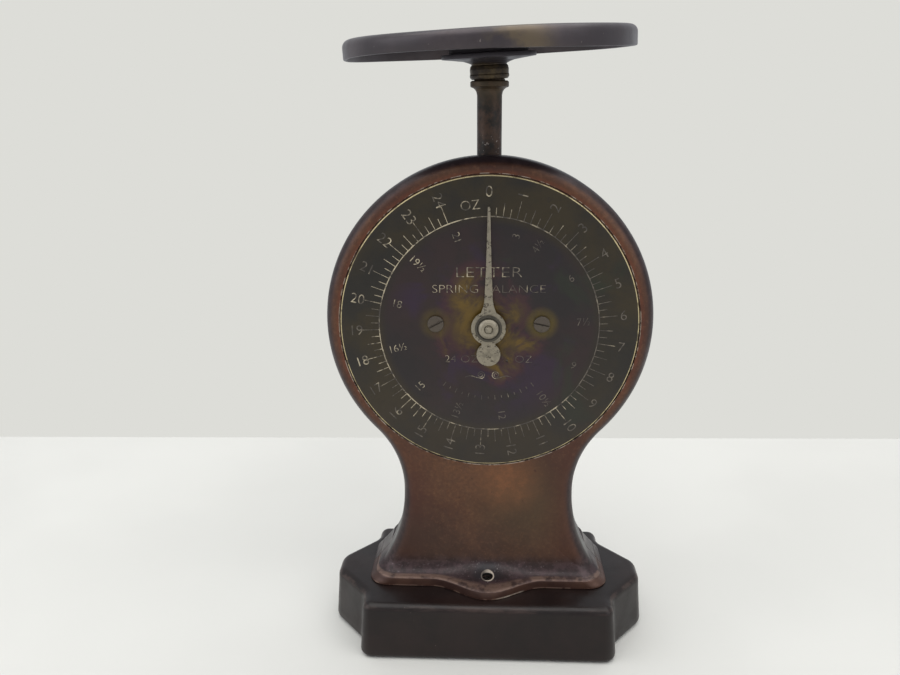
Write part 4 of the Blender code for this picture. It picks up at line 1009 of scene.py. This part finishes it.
def make_numbers(material):
    work = bmesh.new()
    stamp(work, glyphs("0", 3.8 * MM), at_bearing(0, NUMBER_RADIUS, 0))
    for number in range(1, 25):
        bearing = number * OUNCE
        stamp(work, glyphs(str(number), 3.6 * MM), at_bearing(bearing, NUMBER_RADIUS, reading_turn(bearing)))
    stamp(work, glyphs("OZ", 3.3 * MM), at_bearing(-8.6, 41.6 * MM, 6))
    rates = {1: "3", 2: "4½", 4: "6", 6: "7½", 8: "9", 10: "10½", 12: "12", 14: "13½", 16: "15", 18: "16½",
             20: "18", 22: "19½", 24: "21"}
    for ounces, rate in rates.items():
        bearing = ounces * OUNCE + 2
        stamp(work, glyphs(rate, 2.7 * MM, 0.05 * MM),
              at_bearing(bearing, RATE_RADIUS, reading_turn(bearing)))
    settle(object_of("dial_numbers", work), material, "housing", "dial_brass")


def make_divisions(material):
    """The engraved circle and its quarter, half and whole ounce strokes."""
    work = bmesh.new()
    lengths = {0: 6.1 * MM, 1: 2.9 * MM, 2: 4.7 * MM, 3: 2.9 * MM}
    for quarter_ounce in range(24 * 4 + 1):
        bearing = quarter_ounce * OUNCE / 4
        length = lengths[quarter_ounce % 4]
        if quarter_ounce == 0:
            length = 2.9 * MM
        bar(work, length, 0.2 * MM, at_bearing(bearing, CIRCLE_RADIUS, -bearing))
    steps = 360
    width = 0.16 * MM
    rows = []
    for i in range(steps):
        angle = 2 * math.pi * i / steps
        swell = width * (1 + 0.25 * math.sin(7 * angle) * math.sin(23 * angle + 1))
        ring = [(CIRCLE_RADIUS + s * swell, h) for s, h in ((-1, 0), (1, 0), (1, INK), (-1, INK))]
        place = on_dial() @ move(0, 0, -INK / 2)
        rows.append([work.verts.new(place @ Vector((r * math.cos(angle), r * math.sin(angle), h))) for r,
                     h in ring])
    for i in range(steps):
        here, ahead = rows[i], rows[(i + 1) % steps]
        for k in range(4):
            work.faces.new((here[k], here[(k + 1) % 4], ahead[(k + 1) % 4], ahead[k]))
    settle(object_of("dial_divisions", work), material, "housing", "dial_brass")


def scroll(mirror):
    """One half of a small engraved scroll."""
    path = []
    for i in range(40):
        turn = i / 39 * 3.4 * math.pi
        radius = (0.25 + 1.15 * i / 39) * MM
        path.append((mirror * (2.6 * MM + radius * math.cos(turn)), radius * math.sin(turn)))
    path += [(mirror * (4.4 + 3.6 * i / 9) * MM,
              (-0.9 + 0.5 * math.sin(i / 9 * math.pi)) * MM) for i in range(10)]
    return path


def stroke(work, path, width, place):
    """A thin raised line along a path."""
    for (x0, y0), (x1, y1) in zip(path, path[1:]):
        length = math.hypot(x1 - x0, y1 - y0)
        turn = math.atan2(-(x1 - x0), y1 - y0)
        bar(work, length * 1.08, width, place @ move(x0, y0, 0) @ Matrix.Rotation(turn, 4, "Z"))


def make_lettering(material):
    """Generic words and a small scroll, engraved about the hub."""
    work = bmesh.new()
    lines = (("LETTER", 3.7, 22, 18.9), ("SPRING BALANCE", 2.9, 38, 13.2), ("24 OZ BY ¼ OZ", 2.7, 30, -11.5))
    for text, height, width, up in lines:
        stamp(work, glyphs(text, height * MM, 0.11 * MM, width * MM), on_dial(0, up * MM))
    for mirror in (-1, 1):
        stroke(work, scroll(mirror), 0.22 * MM, on_dial(0, -17.2 * MM))
    for step in range(-7, 8):
        bearing = 180 + step * 5.2
        length = (1.6 if step % 2 else 0.8) * MM
        bar(work, length, 0.22 * MM, at_bearing(bearing, 25.6 * MM - length / 2, -bearing))
    settle(object_of("dial_lettering", work), material, "housing", "dial_brass")


def make_dial_screws(material):
    make_screw("dial_screw_head_left", "dial_screw_left", 2.8 * MM, 1.2 * MM, material, 28)
    make_screw("dial_screw_head_right", "dial_screw_right", 2.8 * MM, 1.2 * MM, material, -12, 0.1)


# ---------------------------------------------------------------- pointer

def make_needle(material):
    """The needle: a tapering blade, a round boss and a counterweight tail, with softened edges."""
    right = arc(0, -9.3 * MM, 4.1 * MM, -90, 55, 26)
    right += arc(0, 0, 5.9 * MM, -66.5, 64, 30)
    right += in_mm((1.75, 7.6), (1.45, 9.6), (0.95, 20), (0.68, 30), (0.42, 40.6), (0.2, 40.8))
    loop = right + [(-x, y) for x, y in reversed(right) if x > 1e-6]
    low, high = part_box("pointer")
    thick = high.y - low.y
    edge = 0.12 * MM
    rings = []
    for height, inset in ((0, edge), (0.3 * edge, 0.3 * edge), (edge, 0), (thick - edge, 0),
                          (thick - 0.3 * edge, 0.3 * edge), (thick, edge)):
        rings.append([(x, high.y - height, DIAL_Z + z) for x, z in inset_loop(loop, inset)])
    needle = lofted("needle", rings)
    drill(needle, 1.25 * MM, 5 * MM, 25 * MM, 48, DIAL_AXIS)
    settle(needle, material, "pointer_train", "steel", "pointer")


def make_hub(steel, nut_steel):
    bore = 1.26
    washer = in_mm((bore, 16.85), (3.7, 16.85), (3.9, 17.15), (4.6, 17.1), (4.6, 16.25), (bore, 16.25))
    piece = object_of("needle_washer", turned(washer, 0.15 * MM, 96, ring=True), DIAL_AXIS)
    settle(piece, steel, "pointer_train", "steel", "pointer_washer")
    nut = in_mm((1.55, 17.8), (2.5, 17.8), (3.35, 17.25), (3.35, 16.9), (bore, 16.9), (bore, 17.5))
    piece = object_of("needle_nut", turned(nut, 0.2 * MM, 96, ring=True), DIAL_AXIS)
    settle(piece, nut_steel, "pointer_train", "steel", "pointer_nut")
    low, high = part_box("pointer_arbor")
    shaft = revolve([(0, -low.y - 0.5 * MM), (1.2 * MM, -low.y - 0.5 * MM), (1.2 * MM, -high.y),
                     (0, -high.y)], 48)
    arbor = object_of("arbor_shaft", shaft, DIAL_AXIS)
    square = bmesh.new()
    bmesh.ops.create_cube(square, size=1, matrix=move(0, 0, -low.y - 0.4 * MM) @ Matrix.Diagonal(
        (1.7 * MM, 1.7 * MM, 0.8 * MM, 1)))
    bmesh.ops.bevel(square, geom=square.edges[:], offset=0.14 * MM, segments=3, profile=0.5, affect="EDGES")
    shape(arbor, "UNION", object_of("square", square, DIAL_AXIS))
    settle(arbor, nut_steel, "pointer_train", "steel", "pointer_arbor")


# ---------------------------------------------------------------- post and pan

def make_post(material):
    foot = POST_LOW.z
    top = POST_HIGH.z
    ledge = top - 5.6 * MM
    collar = ledge + 0.65 * MM
    profile = [(0, top), (2.5 * MM, top), (2.5 * MM, collar), (5.1 * MM, collar), (5.1 * MM, ledge),
               (6.0 * MM, ledge), (6.4 * MM, ledge - 0.4 * MM),
               (6.4 * MM, ledge - 1.8 * MM), (6.0 * MM, ledge - 2.05 * MM), (5.5 * MM, ledge - 2.2 * MM),
               (4.85 * MM, ledge - 2.7 * MM), (4.4 * MM, ledge - 3.4 * MM), (4.15 * MM, ledge - 4.6 * MM)]
    profile = fillet(profile, [0.2 * MM] * len(profile), 3, closed=False)
    stem = ledge - 4.6 * MM
    profile += [(4.15 * MM, stem - (stem - foot) * k / 12) for k in range(1, 13)] + [(0, foot)]
    post = object_of("post_stem", revolve(profile, 72))
    cross = move(0, 0, 153.5 * MM) @ Matrix.Rotation(math.pi / 2, 4, "Y")
    drill(post, 0.9 * MM, -10 * MM, 10 * MM, 24, cross)
    settle(post, material, "pan_carriage", "post_brown", "post")


def make_pan(material):
    bend = (PAN_RADIUS - PAN_BEND, PAN_TOP - PAN_BEND)
    outer = [(0, PAN_TOP), (bend[0], PAN_TOP)]
    outer += arc(*bend, PAN_BEND, 90, 0, 12)[1:]
    outer += [(PAN_RADIUS, PAN_FOOT + 0.45 * MM), (PAN_RADIUS - 0.12 * MM, PAN_FOOT + 0.12 * MM),
              (PAN_RADIUS - 0.45 * MM, PAN_FOOT), (PAN_RADIUS - 0.85 * MM, PAN_FOOT + 0.1 * MM),
              (PAN_RADIUS - PAN_SHEET, PAN_FOOT + 0.4 * MM)]
    outer += arc(*bend, PAN_BEND - PAN_SHEET, 0, 90, 8)
    radii = [10 * MM, 20 * MM, 30 * MM, 38 * MM]
    rows = [outer[0]] + [(r, PAN_TOP) for r in radii] + outer[1:]
    rows += [(r, PAN_TOP - PAN_SHEET) for r in radii[::-1] + [0]]
    work = revolve(rows, 192)
    for vertex in work.verts:
        angle = math.atan2(vertex.co.y, vertex.co.x)
        share = min(1, vertex.co.xy.length / PAN_RADIUS) ** 3
        vertex.co.z += share * 0.12 * MM * (math.sin(2 * angle + 0.8) + 0.6 * math.sin(5 * angle + 2))
        below = max(0, min(1, (bend[1] - vertex.co.z) / (4 * MM)))
        vertex.co.z += below * share * 1.15 * MM * max(0, math.cos(angle - math.radians(-118))) ** 3
    pan = object_of("pan_dish", work, LEAN)
    for number, place in enumerate(rivet_places()):
        sink = revolve([(0, 20 * MM), (2.55 * MM, 20 * MM), (2.55 * MM, PAN_TOP + 0.2 * MM),
                        (1.5 * MM, PAN_TOP - 0.85 * MM),
                        (1.5 * MM, 10 * MM), (0, 10 * MM)], 32)
        shape(pan, "DIFFERENCE", object_of("sink", sink, place))
        rivet = turned([(0, 0), (2.2 * MM, 0), (1.4 * MM, -0.8 * MM), (1.4 * MM, -4.2 * MM), (0, -4.2 * MM)],
                       0.06 * MM, 40)
        seat = place @ move(0, 0, PAN_TOP - 0.05 * MM)
        settle(object_of(f"pan_rivet_flush_{number + 1}", rivet, seat), material, "pan_carriage",
               "pan_bronze",
               f"pan_rivet_{number + 1}")
    settle(pan, material, "pan_carriage", "pan_bronze", "pan")


def rivet_places():
    angles = [math.pi / 2 + 2 * math.pi * number / 3 for number in range(3)]
    return [LEAN @ move(RIVET_CIRCLE * math.cos(a), RIVET_CIRCLE * math.sin(a), 0) for a in angles]


def make_flange(material):
    """The hub under the pan: a disc, a cove, a ferrule and the socket that the post's collar stands in."""
    under = PAN_TOP / MM - 1.05
    profile = in_mm((0, under), (13, under), (13, 8.3), (15.5, 8.3), (15.5, 6.9), (11.5, 6.42), (8.4, 6.0),
                    (6.9, 5.5), (6.0, 5.1), (5.8, 4.9), (5.8, 4.7), (6.2, 4.3), (6.42, 3.3), (6.35, 1.9),
                    (6.5, 1.6), (6.5, 1.0), (6.15, 0.5), (5.95, 0.3), (5.5, 0.25), (5.5, 1.15),
                    (3.15, 1.15), (3.15, 5.9), (0, 5.9))
    flange = object_of("pan_collar", turned(profile, 0.16 * MM, 120, smooth=3), LEAN)
    for place in rivet_places():
        drill(flange, 1.5 * MM, 9 * MM, 20 * MM, 32, place)
    settle(flange, material, "pan_carriage", "pan_bronze", "pan_flange")


# ---------------------------------------------------------------- springs

def spring_path(across):
    """A coil with a round hook on each end."""
    coil_top, coil_foot = SPRING_TOP - 5 * MM, SPRING_FOOT + 5 * MM

    def loop(middle, toward):
        angles = [math.radians(-50 + 280 * i / 24) for i in range(25)]
        made = [Vector((across + HOOK_RADIUS * math.cos(a), 0,
                        middle + toward * HOOK_RADIUS * math.sin(a))) for a in angles]
        return made + [Vector((across, 0, middle - toward * 3.2 * MM))]

    path = loop(SPRING_TOP - 0.4 * MM, 1)
    count = COIL_TURNS * 20
    for i in range(count + 1):
        angle = 2 * math.pi * i / 20
        height = coil_top + (coil_foot - coil_top) * i / count
        path.append(Vector((across + COIL_RADIUS * math.cos(angle), COIL_RADIUS * math.sin(angle), height)))
    return path + loop(SPRING_FOOT + 0.4 * MM, -1)[::-1]


def make_spring(side, across, material):
    curve = bpy.data.curves.new("wire", "CURVE")
    curve.dimensions = "3D"
    curve.bevel_depth = 0.45 * MM
    curve.bevel_resolution = 2
    curve.use_fill_caps = True
    path = spring_path(across)
    spline = curve.splines.new("POLY")
    spline.points.add(len(path) - 1)
    for point, place in zip(spline.points, path):
        point.co = (*place, 1)
    mesh = mesh_of(curve)
    spring = added(f"coil_spring_{side}", mesh)
    mesh.materials.clear()
    mesh.materials.append(material)
    mesh.shade_smooth()
    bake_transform(spring)
    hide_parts(f"spring_{side}")


# ---------------------------------------------------------------- room

def floor_paint():
    color = rgb(219, 218, 213)
    f = Finish("floor_paint", color, 0.6)
    soft = tuple(value * 0.93 for value in color[:3]) + (1,)
    f.color(f.mix(f.ease(f.noise(6, 3, 0.5, seed=1.0), 0.35, 0.65), soft, color))
    f.bump(f.noise(400, 3, 0.5), 0.05 * MM)
    return f.material


def make_floor():
    """A pale table top that ends behind the scale."""
    work = bmesh.new()
    bmesh.ops.create_grid(work, x_segments=8, y_segments=8, size=1)
    place = Matrix.Rotation(math.radians(FLOOR_TURN), 4, "Z") @ move(0, FLOOR_END - 1, 0)
    floor = object_of("floor", work, place)
    floor.data.materials.append(floor_paint())


def area_light(name, place, target, size, energy, color=(1, 1, 1)):
    light = bpy.data.lights.new(name, "AREA")
    light.shape = "RECTANGLE"
    light.size, light.size_y = size
    light.energy = energy
    light.color = color
    lamp = added(name, light)
    lamp.location = place
    lamp.rotation_mode = "QUATERNION"
    lamp.rotation_quaternion = (Vector(target) - Vector(place)).to_track_quat("-Z", "Y")


def light_room():
    """Three soft lamps, a pale world that lights the scale, and the plain colour seen behind it."""
    world = bpy.data.worlds.new("room")
    bpy.context.scene.world = world
    world.use_nodes = True
    tree = world.node_tree
    sky = tree.nodes["Background"]
    sky.inputs["Color"].default_value = (0.93, 0.96, 1.0, 1)
    sky.inputs["Strength"].default_value = 0.62
    seen = tree.nodes.new("ShaderNodeBackground")
    seen.inputs["Color"].default_value = rgb(221, 221, 216)
    rays = tree.nodes.new("ShaderNodeLightPath")
    choice = tree.nodes.new("ShaderNodeMixShader")
    tree.links.new(rays.outputs["Is Camera Ray"], choice.inputs[0])
    tree.links.new(sky.outputs["Background"], choice.inputs[1])
    tree.links.new(seen.outputs["Background"], choice.inputs[2])
    tree.links.new(choice.outputs["Shader"], tree.nodes["World Output"].inputs["Surface"])
    area_light("ceiling", (0.05, -0.1, 1.1), (0, 0, 0.05), (1.5, 1.3), 11, (1, 0.99, 0.96))
    area_light("window", (-0.9, -0.35, 0.55), (0, 0, 0.1), (0.7, 0.9), 2.7, (0.96, 0.98, 1))
    area_light("fill", (0.8, -0.6, 0.6), (0, 0, 0.1), (0.8, 0.8), 2.1)
    view = bpy.context.scene.view_settings
    view.view_transform = "Standard"
    view.look = "None"


def make_camera():
    camera = bpy.data.cameras.new("camera")
    camera.sensor_width = 36
    camera.lens = CAMERA_LENS
    camera.clip_start = 10 * MM
    holder = added("camera", camera)
    pan, tilt, roll = (math.radians(turn) for turn in (CAMERA_PAN, CAMERA_TILT, CAMERA_ROLL))
    aim = Matrix.Rotation(pan, 4, "Z") @ Matrix.Rotation(tilt, 4, "X") @ Matrix.Rotation(roll, 4, "Z")
    holder.matrix_world = move(*CAMERA_PLACE) @ aim
    bpy.context.scene.camera = holder


# ---------------------------------------------------------------- the whole scale

def finish_movement():
    """The solids that stay get metal, iron and leather with grain."""
    steel = inner_metal("drawn_steel", rgb(172, 170, 164), 0.32, 1.0, (1, 1, 0.12))
    yellow = inner_metal("turned_brass", rgb(190, 152, 84), 0.3, 1.0, (1, 0.15, 1))
    iron = inner_metal("frame_plate", rgb(84, 84, 84), 0.5, 0.85, (0.2, 1, 1))
    finishes = {"steel": steel, "brass": yellow, "frame_iron": iron, "leather": buffer_leather()}
    slots = {row["node"]: row["material_slot"] for row in frame["record"]["subparts"]}
    for name, node in frame["nodes"].items():
        if node.hide_render:
            continue
        node.data.materials.clear()
        node.data.materials.append(finishes[slots[name]])
        node.data.set_sharp_from_angle(angle=math.radians(30))
    return steel


make_base(enamel_black())
make_front_shell(lacquer_copper())
make_rear_shell(lacquer_dark())
worn_steel = pitted_steel("screw_steel", rgb(126, 118, 106), 0.2, 3.0)
# The sunk screw's steel is painted nearly black: painted shade at the bottom of its hole.
make_case_screws(worn_steel, pitted_steel("sunk_steel_shaded", rgb(30, 27, 25), 0.3, 13.0))
make_dial(tarnished_dial())
make_numbers(engraving_fill("number_fill", 0.0))
make_divisions(engraving_fill("division_fill", 0.03))
make_lettering(engraving_fill("lettering_fill", 0.03))
make_dial_screws(pitted_steel("dial_screw_steel", rgb(84, 76, 68), 0.3, 5.0))
make_needle(pitted_steel("needle_steel", rgb(140, 132, 116), 0.55, 7.0))
make_hub(pitted_steel("washer_steel", rgb(74, 70, 62), 0.3, 9.0),
         pitted_steel("nut_steel", rgb(146, 138, 122), 0.2, 11.0))
make_post(post_bronze())
make_pan(pan_bronze())
make_flange(ferrule_bronze())
movement_steel = finish_movement()
make_spring("left", -SPRING_X, movement_steel)
make_spring("right", SPRING_X, movement_steel)
make_floor()
light_room()
make_camera()
